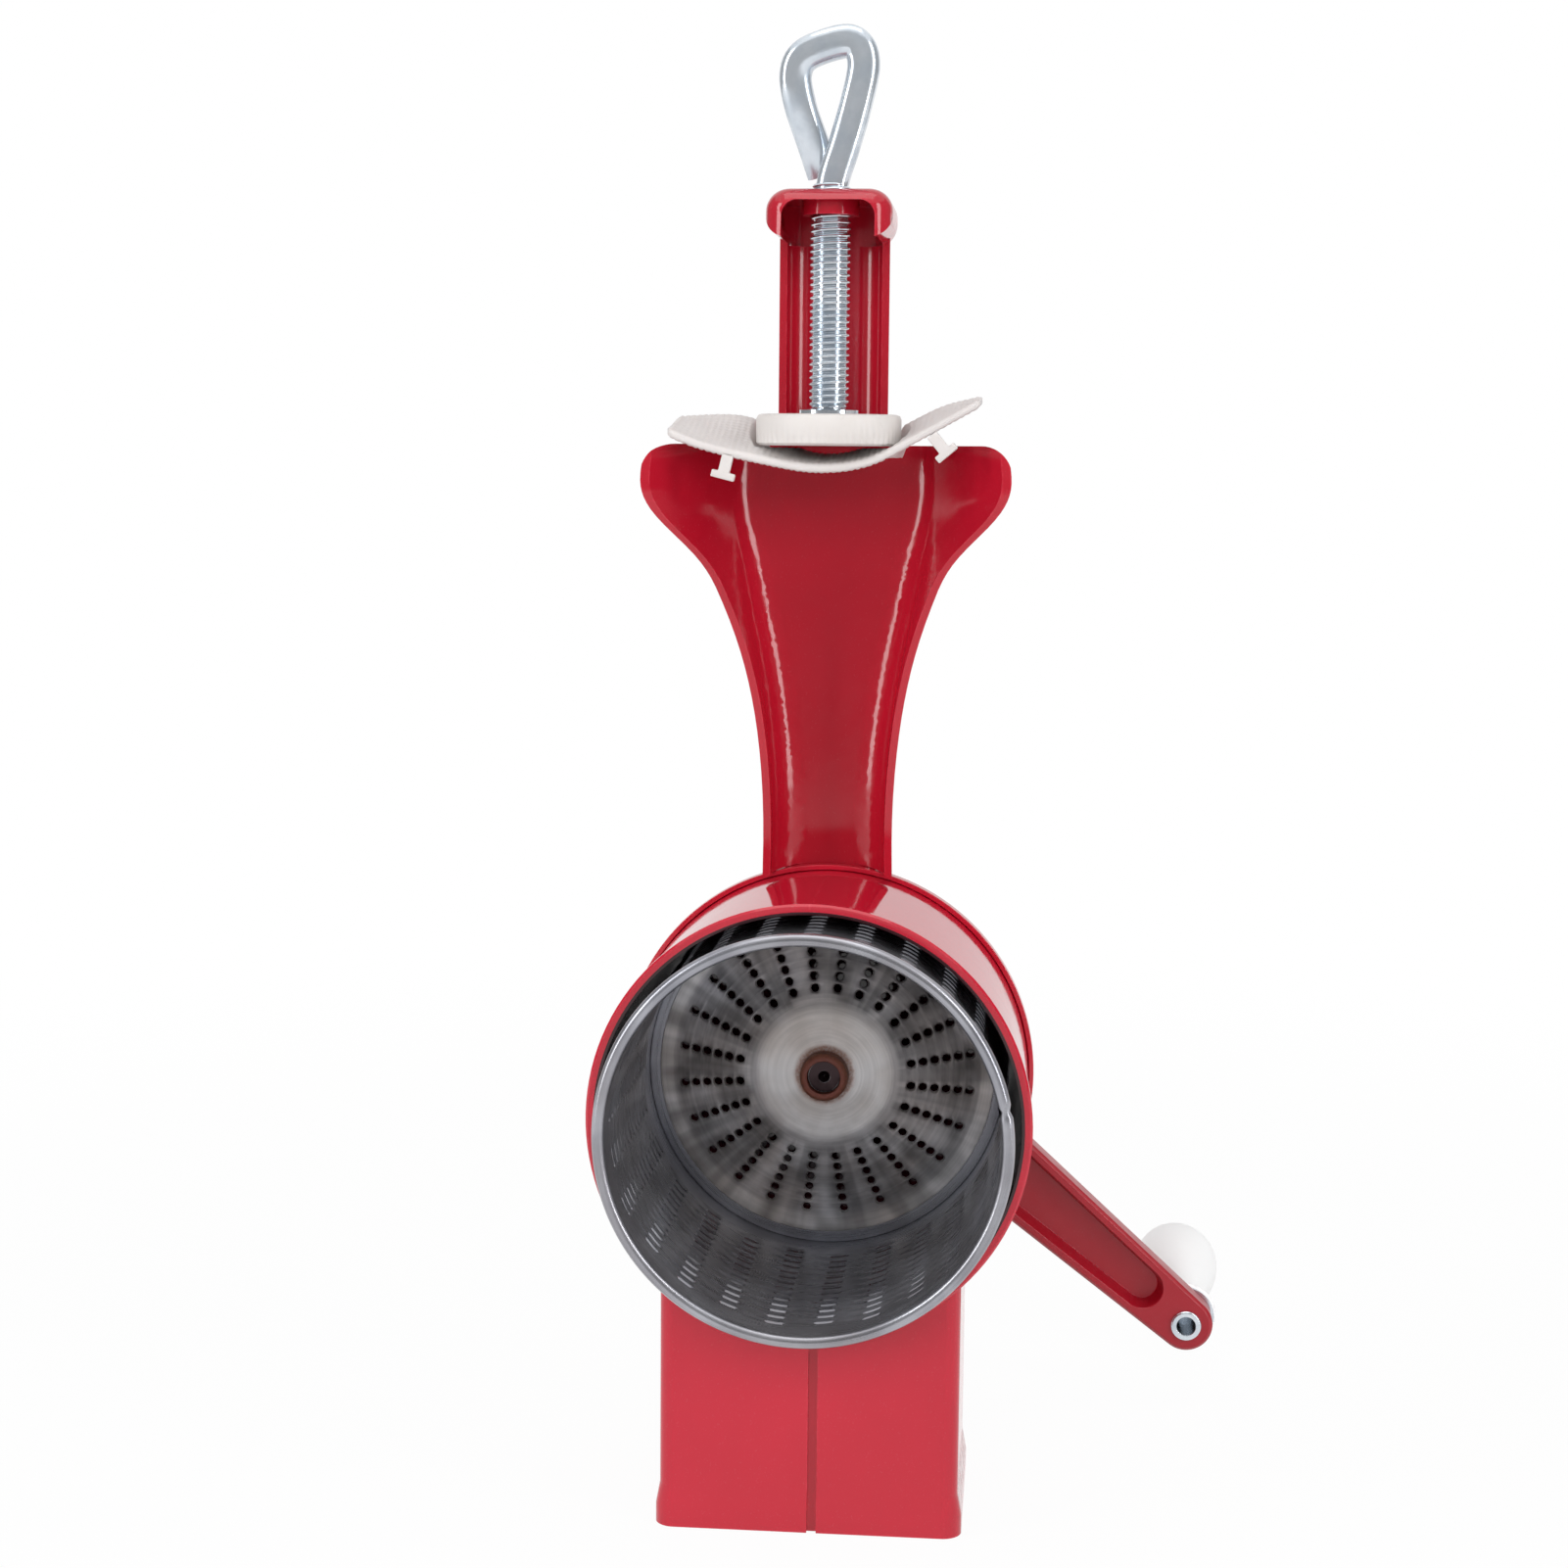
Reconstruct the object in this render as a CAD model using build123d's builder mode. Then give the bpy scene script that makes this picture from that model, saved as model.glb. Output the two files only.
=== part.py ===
from build123d import *
import math
import os

# Hand-cranked rotary cheese grater with a table clamp, in millimetres, +Z up.
# It stands on its hopper rim (z = 0) with the clamp on top and the drum's open mouth towards -Y.
# X = 0 is the plane of the housing seams, and Y = 0 is the middle of the hopper.

# Stance
AXIS_HEIGHT = 81.7  # drum axis above the hopper rim

# Clearances
RUN_GAP = 0.05  # radial gap of a shaft in its bush
SEAT_GAP = 0.1  # radial gap of pieces that are pressed, screwed or crimped together
FACE_GAP = 0.15  # axial gap between pieces that turn against each other
SLEEVE_PLAY = 3.1  # radial gap between the drum and the housing's sleeve

# Housing: sleeve and hopper, pressed in two halves
HOUSING_SHEET = 1.0
SLEEVE_LENGTH = 49.2
SLEEVE_BEAD = 1.0  # how far the rolled front edge stands out
SLEEVE_BEAD_WIDTH = 2.0
HOPPER_WIDTH = 57.6
HOPPER_DEPTH = 40.4
HOPPER_CORNER = 3.0
HOPPER_BACK_GAP = 1.2  # from the hopper's back wall to the back plate
BELT_SWELL = 0.8  # outward step round the hopper mouth
BELT_HEIGHT = 3.7
BELT_RAMP = 4.3
LAP_WIDTH = 5.0  # tongue of the right half that lies behind the left half's edge
LAP_STEP = 1.8  # strip of the right half that stays one sheet back beside the seam

# Back plate
PLATE_SHEET = 1.0
PLATE_RIM = 2.5  # length of the rim turned over the sleeve's back edge

# Frame: tongue, neck, jaw, spine and cap pressed from one sheet
FRAME_SHEET = 1.5
TONGUE_WIDTH = 36.0  # foot behind the back plate
NECK_BEND = 7.0  # inside radius of the bends along the neck and jaw
# Channel sections: height above the axis, half width at the flange tips, half width of the web, depth
NECK_SECTIONS = (
    (30.0, 12.9, 12.5, 10.0),
    (48.0, 12.8, 12.4, 10.2),
    (64.0, 13.5, 12.8, 10.8),
    (76.0, 15.1, 13.9, 12.2),
    (87.0, 17.7, 15.4, 14.8),
    (96.0, 20.8, 16.9, 18.0),
    (103.0, 24.4, 17.8, 21.2),
    (109.0, 29.9, 18.4, 24.2),
    (114.0, 34.0, 18.8, 26.0),
    (119.0, 35.3, 18.8, 26.5),
    (125.5, 35.4, 18.8, 26.5),
)
LOBE_CORNER = 6.0
SPINE_WIDTH = 21.5
SPINE_DEPTH = 6.8
SPINE_BEND = 5.0
CAP_TOP = 173.4  # top of the folded cap above the axis
CAP_WIDTH = 24.1
CAP_DEPTH = 26.5
CAP_BEND = 3.5
CAP_CORNER = 4.3  # the cap's rounding, above and below its ears
CAP_SKIRT = 9.2  # height of the ears
CAP_LIP = 2.3  # height of the cap's front lip between the ears
CAP_LIP_SPAN = 17.6
CAP_LIP_CORNER = 3.0

# Clamp screw, M8
SCREW_REACH = 16.2  # screw axis in front of the web
SCREW_DIAMETER = 7.8
TIP_DIAMETER = 4.8
LOOP_ROD = 6.0
LOOP_RISE = 1.4  # from the cap to where the bar bends
NUT_DIAMETER = 10.8
NUT_THICKNESS = 3.2
NUT_SPIGOT = 9.6

# Pressure disc and its washer
DISC_DIAMETER = 27.9
DISC_THICKNESS = 6.0
DISC_UNDERSIDE = 125.3  # above the axis
DISC_EDGE = 0.6
DISC_POCKET = 2.6
WASHER_DIAMETER = 11.4
WASHER_SHEET = 0.8
WASHER_RISE = 0.3

# Jaw pad: underside of its front and back edges, as places across and heights above the axis
PAD_SHEET = 1.9
PAD_DEPTH = 17.6
PAD_FRONT = 9.6  # front edge before the screw axis
PAD_FRONT_EDGE = ((-30.5, 126.4), (-20.0, 122.0), (-8.0, 119.7), (3.0, 119.4), (13.0, 121.3), (29.5, 131.2))
PAD_BACK_EDGE = ((-30.3, 131.0), (-22.5, 126.2), (-9.0, 122.9), (2.0, 122.5), (12.0, 123.1), (29.3, 131.4))
HOOK_WIDTH = 2.6
HOOK_DROP = 3.4
HOOK_FOOT = 5.4
HOOK_SHEET = 1.6
HOOK_PLACES = ((-18.8, 121.7, -8.0), (21.2, 125.3, 38.0))  # across, height above the axis, lean in degrees

# Drum
DRUM_BORE = 72.2
DRUM_SHEET = 0.5
DRUM_LENGTH = 61.1  # rim to the back of its end
DRUM_GAP = 1.5  # from the drum's back to the back plate
RIM_BEAD = 2.4  # height of the rolled rim over the bore
RIM_EDGE = 0.7
END_BAND = 2.2  # width of the shell's turned-in edge at the far end
END_RISE = 5.6  # how far the dished end stands in towards the mouth
END_GUTTER = 5.1  # flat ring between the bore and the foot of the dish
END_FLAT = 27.0  # diameter of the flat middle
END_BEND = 2.0
SLOT_COLUMNS = 25  # one place stays blank for the rolled sheet's seam
SLOT_ROWS = 7  # in every second column; the columns between have one row less
SLOT_BLANK = 17.5  # degrees from +X to the blank place
SLOT_FIRST = 9.3  # from the mouth to the first slot
SLOT_PITCH = 6.8
SLOT_LENGTH = 3.1  # round the drum
SLOT_WIDTH = 1.5
END_HOLE_RAYS = 24
END_HOLE_ROUNDS = 6
END_HOLE_START = 17.4  # radius of the first round
END_HOLE_PITCH = 2.36
END_HOLE = 1.9

# Hub, shaft and bearing
HUB_DIAMETER = 9.7
HUB_RISE = 3.4
HUB_NECK = 8.0
HUB_COLLAR = 15.0
HUB_COLLAR_LENGTH = 2.4
HUB_THREAD = 6.6
SHAFT_DIAMETER = 10.0
SHAFT_RECESS = 1.5  # shaft end below the hub's face
SHAFT_DIMPLE = 2.4
SHAFT_FLAT = 7.6  # across the flats that carry the crank
SHAFT_THREAD = 7.4
THRUST_WASHER = 0.8
THRUST_DIAMETER = 16.0
BUSH_DIAMETER = 14.0
BUSH_COLLAR = 17.0
BUSH_COLLAR_LENGTH = 1.4
BUSH_LENGTH = 12.0
TUBE_DIAMETER = 18.0
TUBE_FLANGE = 30.0
TUBE_FLANGE_SHEET = 1.5
TUBE_LENGTH = 31.3

# Crank
CRANK_RADIUS = 99.2
CRANK_ANGLE = -39.9  # degrees from +X at rest
CRANK_THICKNESS = 6.3
CRANK_ROOT = 10.4
CRANK_TIP = 5.8
RECESS_DEPTH = 4.2
RECESS_DRAFT = 14.0
RECESS_RIM = 2.0
RECESS_START = 22.0
RECESS_STOP = 8.0  # from the recess to the rivet's axis
CRANK_EDGE = 0.7
CRANK_WASHER_DIAMETER = 16.0
CRANK_WASHER_THICKNESS = 1.4
CRANK_NUT_FLATS = 13.0
CRANK_NUT_THICKNESS = 5.0
SHAFT_END = 1.6  # thread standing out of the nut

# Grip and its rivet
GRIP_LENGTH = 46.0
GRIP_NECK = 14.0
GRIP_BULGE = 18.4
GRIP_END = 11.0
GRIP_SEAT = 2.5  # depth of the seat for the rivet's far flange
RIVET_DIAMETER = 5.2
RIVET_BORE = 4.1
RIVET_HEAD = 6.6
RIVET_HEAD_HEIGHT = 0.7
RIVET_FLANGE = 8.4
GRIP_WASHER_DIAMETER = 13.0
GRIP_WASHER_THICKNESS = 1.0

# Places that follow from the sizes
plate_y = HOPPER_DEPTH / 2 + HOPPER_BACK_GAP  # front face of the back plate
web_y = plate_y + PLATE_SHEET  # front face of the frame's web
web_back_y = web_y + FRAME_SHEET
screw_y = web_y - SCREW_REACH
drum_bore_r = DRUM_BORE / 2
drum_r = drum_bore_r + DRUM_SHEET
rim_r = drum_bore_r + RIM_BEAD
end_foot_r = drum_bore_r - END_GUTTER
sleeve_bore_r = drum_r + SLEEVE_PLAY
sleeve_r = sleeve_bore_r + HOUSING_SHEET
bead_r = sleeve_r + SLEEVE_BEAD
plate_r = sleeve_r + SEAT_GAP + PLATE_SHEET
jaw_z = AXIS_HEIGHT + NECK_SECTIONS[-1][0]
cap_z = AXIS_HEIGHT + CAP_TOP
cap_inner_width = CAP_WIDTH - 2 * FRAME_SHEET
drum_back_y = plate_y - DRUM_GAP
drum_front_y = drum_back_y - DRUM_LENGTH
end_y = drum_back_y - DRUM_SHEET  # front face of the drum end's flange
end_flat_y = end_y - END_RISE
hub_front_y = end_flat_y - HUB_RISE
hub_back_y = end_flat_y + DRUM_SHEET + HUB_COLLAR_LENGTH
shaft_r = SHAFT_DIAMETER / 2
shaft_bore_r = shaft_r + RUN_GAP
tube_bore_r = BUSH_DIAMETER / 2 + SEAT_GAP
bush_front_y = hub_back_y + THRUST_WASHER + 2 * FACE_GAP
tube_back_y = web_back_y + TUBE_LENGTH
arm_y = tube_back_y + BUSH_COLLAR_LENGTH + FACE_GAP
arm_back_y = arm_y + CRANK_THICKNESS
crank_nut_y = arm_back_y + CRANK_WASHER_THICKNESS
shaft_back_y = crank_nut_y + CRANK_NUT_THICKNESS + SHAFT_END
grip_y = arm_back_y + GRIP_WASHER_THICKNESS + FACE_GAP
grip_back_y = grip_y + GRIP_LENGTH
rivet_back_y = grip_back_y - GRIP_SEAT
angle = math.radians(CRANK_ANGLE)
rivet_x = CRANK_RADIUS * math.cos(angle)
rivet_z = AXIS_HEIGHT + CRANK_RADIUS * math.sin(angle)
disc_z = AXIS_HEIGHT + DISC_UNDERSIDE
disc_top_z = disc_z + DISC_THICKNESS
washer_top_z = disc_top_z + WASHER_SHEET + WASHER_RISE
shank_z = washer_top_z + FACE_GAP
loop_z = cap_z + LOOP_RISE
screw_end_z = disc_top_z - DISC_POCKET + 2 * FACE_GAP
pad_y = screw_y - PAD_FRONT

drum_axis = Axis((0, 0, AXIS_HEIGHT), (0, 1, 0))
rivet_axis = Axis((rivet_x, 0, rivet_z), (0, 1, 0))
screw_axis = Axis((0, screw_y, 0), (0, 0, 1))


def front_plane(y):
    """Plane across the drum axis, seen from the mouth; positive extrusions run towards the mouth."""
    return Plane(origin=(0, y, AXIS_HEIGHT), x_dir=(1, 0, 0), z_dir=(0, -1, 0))


def side_plane(x, z):
    """Plane through an axis that runs along Y; its own x is Y, and its own y is the radius."""
    return Plane(origin=(x, 0, z), x_dir=(0, 1, 0), z_dir=(1, 0, 0))


def crank_plane(y):
    """Front plane turned so that its own x points from the shaft to the grip."""
    return Plane(origin=(0, y, AXIS_HEIGHT), x_dir=(math.cos(angle), 0, math.sin(angle)), z_dir=(0, -1, 0))


def duct_outline(inset, bottom, top):
    """Heights of the hopper's mouth, belt and shaft, each with its width, depth and corner radius."""
    ramp_top = BELT_HEIGHT + BELT_RAMP
    outline = []
    for height, swell in ((bottom, BELT_SWELL), (BELT_HEIGHT, BELT_SWELL), (ramp_top, 0), (top, 0)):
        grow = swell - inset
        outline.append((height, HOPPER_WIDTH + 2 * grow, HOPPER_DEPTH + 2 * grow, HOPPER_CORNER + grow))
    return outline


def finish(part, label):
    """Label a finished sub-part and write it."""
    part.label = label
    export_step(part, f"parts/{label}.step")


os.makedirs("parts", exist_ok=True)

# Housing: the whole pressing, before it is parted at the seams
with BuildPart() as housing_blank:
    with BuildSketch(front_plane(plate_y)):
        Circle(sleeve_r)
    extrude(amount=SLEEVE_LENGTH)
    for height, width, depth, corner in duct_outline(0, 0, AXIS_HEIGHT):
        with BuildSketch(Plane.XY.offset(height)):
            RectangleRounded(width, depth, corner)
    loft(ruled=True)
    with BuildSketch(front_plane(plate_y - SLEEVE_LENGTH + SLEEVE_BEAD_WIDTH)):
        Circle(bead_r)
    extrude(amount=SLEEVE_BEAD_WIDTH)
    bead_edges = edges().filter_by(GeomType.CIRCLE).filter_by(lambda e: abs(e.radius - bead_r) < 0.01)
    chamfer(bead_edges, SLEEVE_BEAD * 0.4)
    with BuildSketch(front_plane(plate_y)):
        Circle(sleeve_bore_r)
    extrude(amount=SLEEVE_LENGTH, mode=Mode.SUBTRACT)
    for height, width, depth, corner in duct_outline(HOUSING_SHEET, -HOUSING_SHEET, AXIS_HEIGHT):
        with BuildSketch(Plane.XY.offset(height)):
            RectangleRounded(width, depth, corner)
    loft(ruled=True, mode=Mode.SUBTRACT)

# Lap: tongues one sheet further in, across the hopper's front and back seams
with BuildPart() as lap_blank:
    for height, width, depth, corner in duct_outline(HOUSING_SHEET, 0, AXIS_HEIGHT):
        with BuildSketch(Plane.XY.offset(height)):
            RectangleRounded(width, depth, corner)
    loft(ruled=True)
    for height, width, depth, corner in duct_outline(2 * HOUSING_SHEET, -HOUSING_SHEET, AXIS_HEIGHT):
        with BuildSketch(Plane.XY.offset(height)):
            RectangleRounded(width, depth, corner)
    loft(ruled=True, mode=Mode.SUBTRACT)
    with BuildSketch(Plane.XY):
        with Locations(((2 * LAP_STEP - LAP_WIDTH) / 2, 0)):
            Rectangle(2 * LAP_STEP + LAP_WIDTH, 2 * HOPPER_DEPTH)
    extrude(amount=AXIS_HEIGHT, mode=Mode.INTERSECT)
    with BuildSketch(front_plane(plate_y)):
        Circle(sleeve_bore_r)
    extrude(amount=2 * SLEEVE_LENGTH, both=True, mode=Mode.SUBTRACT)

with BuildPart() as housing_left:
    add(housing_blank.part)
    split(bisect_by=Plane.YZ, keep=Keep.BOTTOM)

with BuildPart() as housing_right:
    add(housing_blank.part)
    split(bisect_by=Plane.YZ, keep=Keep.TOP)
    with BuildSketch(Plane.XY):
        with Locations((LAP_STEP / 2, 0)):
            Rectangle(LAP_STEP, HOPPER_DEPTH + 2 * BELT_SWELL)
    extrude(amount=AXIS_HEIGHT - sleeve_r, mode=Mode.SUBTRACT)
    add(lap_blank.part)

# Back plate: closes the sleeve, its rim turned forward over the sleeve's edge
with BuildPart() as back_plate:
    with BuildSketch(front_plane(web_y)):
        Circle(plate_r)
    extrude(amount=PLATE_SHEET + PLATE_RIM)
    chamfer(edges().group_by(Axis.Y)[-1], PLATE_SHEET * 0.6)
    with BuildSketch(front_plane(plate_y)):
        Circle(plate_r - PLATE_SHEET)
    extrude(amount=PLATE_RIM, mode=Mode.SUBTRACT)
    with BuildSketch(front_plane(plate_y)):
        with Locations((0, -plate_r)):
            Rectangle(HOPPER_WIDTH + 2 * BELT_SWELL, plate_r)
    extrude(amount=PLATE_RIM, mode=Mode.SUBTRACT)
    with BuildSketch(front_plane(web_y)):
        Circle(tube_bore_r)
    extrude(amount=PLATE_SHEET, mode=Mode.SUBTRACT)

# Cap of the frame: folded forward over the screw, its sides curled under into two ears
with BuildPart() as cap_blank:
    with BuildSketch(Plane.XY.offset(cap_z - CAP_SKIRT)):
        with Locations((0, web_back_y - CAP_DEPTH / 2)):
            RectangleRounded(CAP_WIDTH, CAP_DEPTH, CAP_BEND + FRAME_SHEET)
    extrude(amount=CAP_SKIRT)
    fillet(edges().group_by(Axis.Z)[-1], CAP_CORNER)
    with BuildSketch(front_plane(web_back_y)):
        with Locations((0, CAP_TOP)):
            RectangleRounded(CAP_WIDTH, 2 * CAP_SKIRT, CAP_CORNER)
    extrude(amount=CAP_DEPTH, mode=Mode.INTERSECT)

with BuildPart() as cap_hollow:
    with BuildSketch(Plane.XY.offset(cap_z - CAP_SKIRT)):
        with Locations((0, web_back_y - CAP_DEPTH / 2)):
            RectangleRounded(cap_inner_width, CAP_DEPTH - 2 * FRAME_SHEET, CAP_BEND)
    extrude(amount=CAP_SKIRT - FRAME_SHEET)
    with BuildSketch(front_plane(web_y)):
        with Locations((0, CAP_TOP)):
            RectangleRounded(cap_inner_width, 2 * (CAP_SKIRT - FRAME_SHEET), CAP_CORNER - FRAME_SHEET)
        with Locations((0, CAP_TOP - CAP_SKIRT)):
            Rectangle(SPINE_WIDTH - 2 * FRAME_SHEET, CAP_SKIRT)
    extrude(amount=CAP_DEPTH, mode=Mode.INTERSECT)

# Frame
with BuildPart() as frame:
    # neck and jaw: a channel that opens towards the mouth and spreads into two lobes
    for height, tip_half, web_half, depth in NECK_SECTIONS:
        with BuildSketch(Plane.XY.offset(AXIS_HEIGHT + height)):
            with BuildLine():
                Polyline(
                    (-tip_half, web_back_y - depth),
                    (-web_half, web_back_y),
                    (web_half, web_back_y),
                    (tip_half, web_back_y - depth),
                    close=True,
                )
            make_face()
            fillet(vertices().group_by(Axis.Y)[-1], NECK_BEND + FRAME_SHEET)
    loft()
    for height, tip_half, web_half, depth in NECK_SECTIONS:
        lean = (tip_half - web_half) / depth
        wall = FRAME_SHEET * math.hypot(1, lean)
        inner_half = web_half + lean * FRAME_SHEET - wall
        with BuildSketch(Plane.XY.offset(AXIS_HEIGHT + height)):
            with BuildLine():
                Polyline(
                    (wall - tip_half - lean, web_back_y - depth - 1),
                    (-inner_half, web_y),
                    (inner_half, web_y),
                    (tip_half + lean - wall, web_back_y - depth - 1),
                    close=True,
                )
            make_face()
            fillet(vertices().group_by(Axis.Y)[-1], NECK_BEND)
    loft(mode=Mode.SUBTRACT)
    with BuildSketch(front_plane(web_back_y)):
        with Locations((0, NECK_SECTIONS[-1][0] / 2)):
            RectangleRounded(2 * NECK_SECTIONS[-1][1], NECK_SECTIONS[-1][0], LOBE_CORNER)
    extrude(amount=2 * NECK_SECTIONS[-1][3], mode=Mode.INTERSECT)
    with BuildSketch(front_plane(web_y)):
        Circle(plate_r + SEAT_GAP)
    extrude(amount=SLEEVE_LENGTH, mode=Mode.SUBTRACT)
    # tongue behind the back plate
    tongue_top = plate_r - PLATE_SHEET
    tongue_tip = NECK_SECTIONS[0][2] - NECK_BEND * 0.7
    with BuildSketch(front_plane(web_back_y)):
        Circle(TONGUE_WIDTH / 2)
        with BuildLine():
            Polyline(
                (-TONGUE_WIDTH / 2, 0),
                (-tongue_tip, tongue_top),
                (tongue_tip, tongue_top),
                (TONGUE_WIDTH / 2, 0),
                close=True,
            )
        make_face()
        Circle(tube_bore_r, mode=Mode.SUBTRACT)
    extrude(amount=FRAME_SHEET)
    # spine
    spine_z = jaw_z - 2 * FRAME_SHEET
    spine_top_z = cap_z - CAP_CORNER
    with BuildSketch(Plane.XY.offset(spine_z)):
        with Locations((0, web_back_y - SPINE_DEPTH / 2)):
            Rectangle(SPINE_WIDTH, SPINE_DEPTH)
        fillet(vertices().group_by(Axis.Y)[-1], SPINE_BEND + FRAME_SHEET)
    extrude(amount=spine_top_z - spine_z)
    with BuildSketch(Plane.XY.offset(spine_z)):
        with Locations((0, web_y - SPINE_DEPTH / 2)):
            Rectangle(SPINE_WIDTH - 2 * FRAME_SHEET, SPINE_DEPTH)
        fillet(vertices().group_by(Axis.Y)[-1], SPINE_BEND)
    extrude(amount=spine_top_z - spine_z, mode=Mode.SUBTRACT)
    # cap
    add(cap_blank.part)
    add(cap_hollow.part, mode=Mode.SUBTRACT)
    with BuildSketch(front_plane(web_y - SPINE_DEPTH)):
        with Locations((0, CAP_TOP - CAP_SKIRT)):
            RectangleRounded(CAP_LIP_SPAN, 2 * (CAP_SKIRT - CAP_LIP), CAP_LIP_CORNER)
    extrude(amount=CAP_DEPTH, mode=Mode.SUBTRACT)
    with BuildSketch(Plane.XY.offset(cap_z - CAP_SKIRT)):
        with Locations((0, screw_y)):
            Circle(NUT_SPIGOT / 2 + SEAT_GAP)
    extrude(amount=CAP_SKIRT, mode=Mode.SUBTRACT)

# Bearing: flanged tube behind the web, with a bush pressed into each end
with BuildPart() as bearing_tube:
    with BuildSketch(side_plane(0, AXIS_HEIGHT)):
        with BuildLine():
            Polyline(
                (web_back_y, tube_bore_r),
                (web_back_y, TUBE_FLANGE / 2),
                (web_back_y + TUBE_FLANGE_SHEET, TUBE_FLANGE / 2),
                (web_back_y + TUBE_FLANGE_SHEET, TUBE_DIAMETER / 2 + 2.0),
                (web_back_y + TUBE_FLANGE_SHEET + 2.0, TUBE_DIAMETER / 2),
                (tube_back_y, TUBE_DIAMETER / 2),
                (tube_back_y, tube_bore_r),
                close=True,
            )
        make_face()
    revolve(axis=drum_axis)

with BuildPart() as front_bush:
    with BuildSketch(front_plane(plate_y)):
        Circle(BUSH_COLLAR / 2)
    extrude(amount=plate_y - bush_front_y)
    with BuildSketch(front_plane(plate_y + BUSH_LENGTH)):
        Circle(BUSH_DIAMETER / 2)
    extrude(amount=BUSH_LENGTH)
    chamfer(edges().group_by(Axis.Y)[-1], 0.4)
    with BuildSketch(front_plane(plate_y + BUSH_LENGTH)):
        Circle(shaft_bore_r)
    extrude(amount=BUSH_LENGTH + plate_y - bush_front_y, mode=Mode.SUBTRACT)

with BuildPart() as rear_bush:
    with BuildSketch(front_plane(tube_back_y + BUSH_COLLAR_LENGTH)):
        Circle(BUSH_COLLAR / 2)
    extrude(amount=BUSH_COLLAR_LENGTH)
    chamfer(edges().group_by(Axis.Y)[-1], 0.3)
    with BuildSketch(front_plane(tube_back_y)):
        Circle(BUSH_DIAMETER / 2)
    extrude(amount=BUSH_LENGTH)
    with BuildSketch(front_plane(tube_back_y + BUSH_COLLAR_LENGTH)):
        Circle(shaft_bore_r)
    extrude(amount=BUSH_COLLAR_LENGTH + BUSH_LENGTH, mode=Mode.SUBTRACT)

# Clamp nut: pressed up into the cap and spread over its top
with BuildPart() as clamp_nut:
    with BuildSketch(Plane.XY.offset(cap_z - FRAME_SHEET - NUT_THICKNESS)):
        with Locations((0, screw_y)):
            Circle(NUT_DIAMETER / 2)
    extrude(amount=NUT_THICKNESS)
    with BuildSketch(Plane.XY.offset(cap_z - FRAME_SHEET)):
        with Locations((0, screw_y)):
            Circle(NUT_SPIGOT / 2)
    extrude(amount=FRAME_SHEET)
    with BuildSketch(Plane.XY.offset(cap_z - CAP_SKIRT)):
        with Locations((0, screw_y)):
            Circle(SCREW_DIAMETER / 2 + RUN_GAP)
    extrude(amount=2 * CAP_SKIRT, mode=Mode.SUBTRACT)

# Clamp screw: one bar, threaded below and bent into a loop above
with BuildPart() as clamp_screw:
    with BuildSketch(Plane.XY.offset(shank_z)):
        with Locations((0, screw_y)):
            Circle(SCREW_DIAMETER / 2)
    extrude(amount=loop_z - shank_z)
    chamfer(edges().group_by(Axis.Z)[0], 0.6)
    chamfer(edges().group_by(Axis.Z)[-1], 0.9)
    with BuildSketch(Plane.XY.offset(screw_end_z)):
        with Locations((0, screw_y)):
            Circle(TIP_DIAMETER / 2)
    extrude(amount=shank_z - screw_end_z)
    with BuildLine() as loop_path:
        Polyline(
            (0, screw_y, loop_z - 3.0),
            (0.7, screw_y, loop_z + 3.0),
            (6.3, screw_y, loop_z + 17.0),
            (6.1, screw_y, loop_z + 23.0),
            (3.6, screw_y, loop_z + 26.2),
            (-4.0, screw_y + 0.6, loop_z + 23.2),
            (-7.3, screw_y + 1.2, loop_z + 19.8),
            (-6.3, screw_y + 2.0, loop_z + 16.0),
            (-1.6, screw_y + 5.0, loop_z + 4.4),
            (-0.6, screw_y + 6.0, loop_z + 1.2),
        )
    with BuildSketch(Plane(origin=loop_path.line @ 0, z_dir=loop_path.line % 0)):
        Circle(LOOP_ROD / 2)
    sweep(path=loop_path.line, transition=Transition.RIGHT)

# Swivel washer: cupped, riveted on the disc round the screw's tip
with BuildPart() as swivel_washer:
    with BuildSketch(Plane(origin=(0, screw_y, 0), x_dir=(1, 0, 0), z_dir=(0, -1, 0))):
        with BuildLine():
            Polyline(
                (TIP_DIAMETER / 2 + 0.1, washer_top_z - WASHER_SHEET),
                (TIP_DIAMETER / 2 + 0.1, washer_top_z),
                (WASHER_DIAMETER / 2 - 1.9, washer_top_z),
                (WASHER_DIAMETER / 2 - 1.0, disc_top_z + WASHER_SHEET),
                (WASHER_DIAMETER / 2, disc_top_z + WASHER_SHEET),
                (WASHER_DIAMETER / 2, disc_top_z),
                (WASHER_DIAMETER / 2 - 1.6, disc_top_z),
                (WASHER_DIAMETER / 2 - 2.5, washer_top_z - WASHER_SHEET),
                close=True,
            )
        make_face()
    revolve(axis=screw_axis)

# Pressure disc: moulded, with a pocket for the screw's tip
with BuildPart() as pressure_disc:
    with BuildSketch(Plane.XY.offset(disc_z)):
        with Locations((0, screw_y)):
            Circle(DISC_DIAMETER / 2)
    extrude(amount=DISC_THICKNESS)
    chamfer(edges().group_by(Axis.Z)[-1], DISC_EDGE)
    chamfer(edges().group_by(Axis.Z)[0], DISC_EDGE / 2)
    with BuildSketch(Plane.XY.offset(disc_top_z - DISC_POCKET)):
        with Locations((0, screw_y)):
            Circle(TIP_DIAMETER / 2 + SEAT_GAP)
    extrude(amount=DISC_POCKET, mode=Mode.SUBTRACT)

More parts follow.
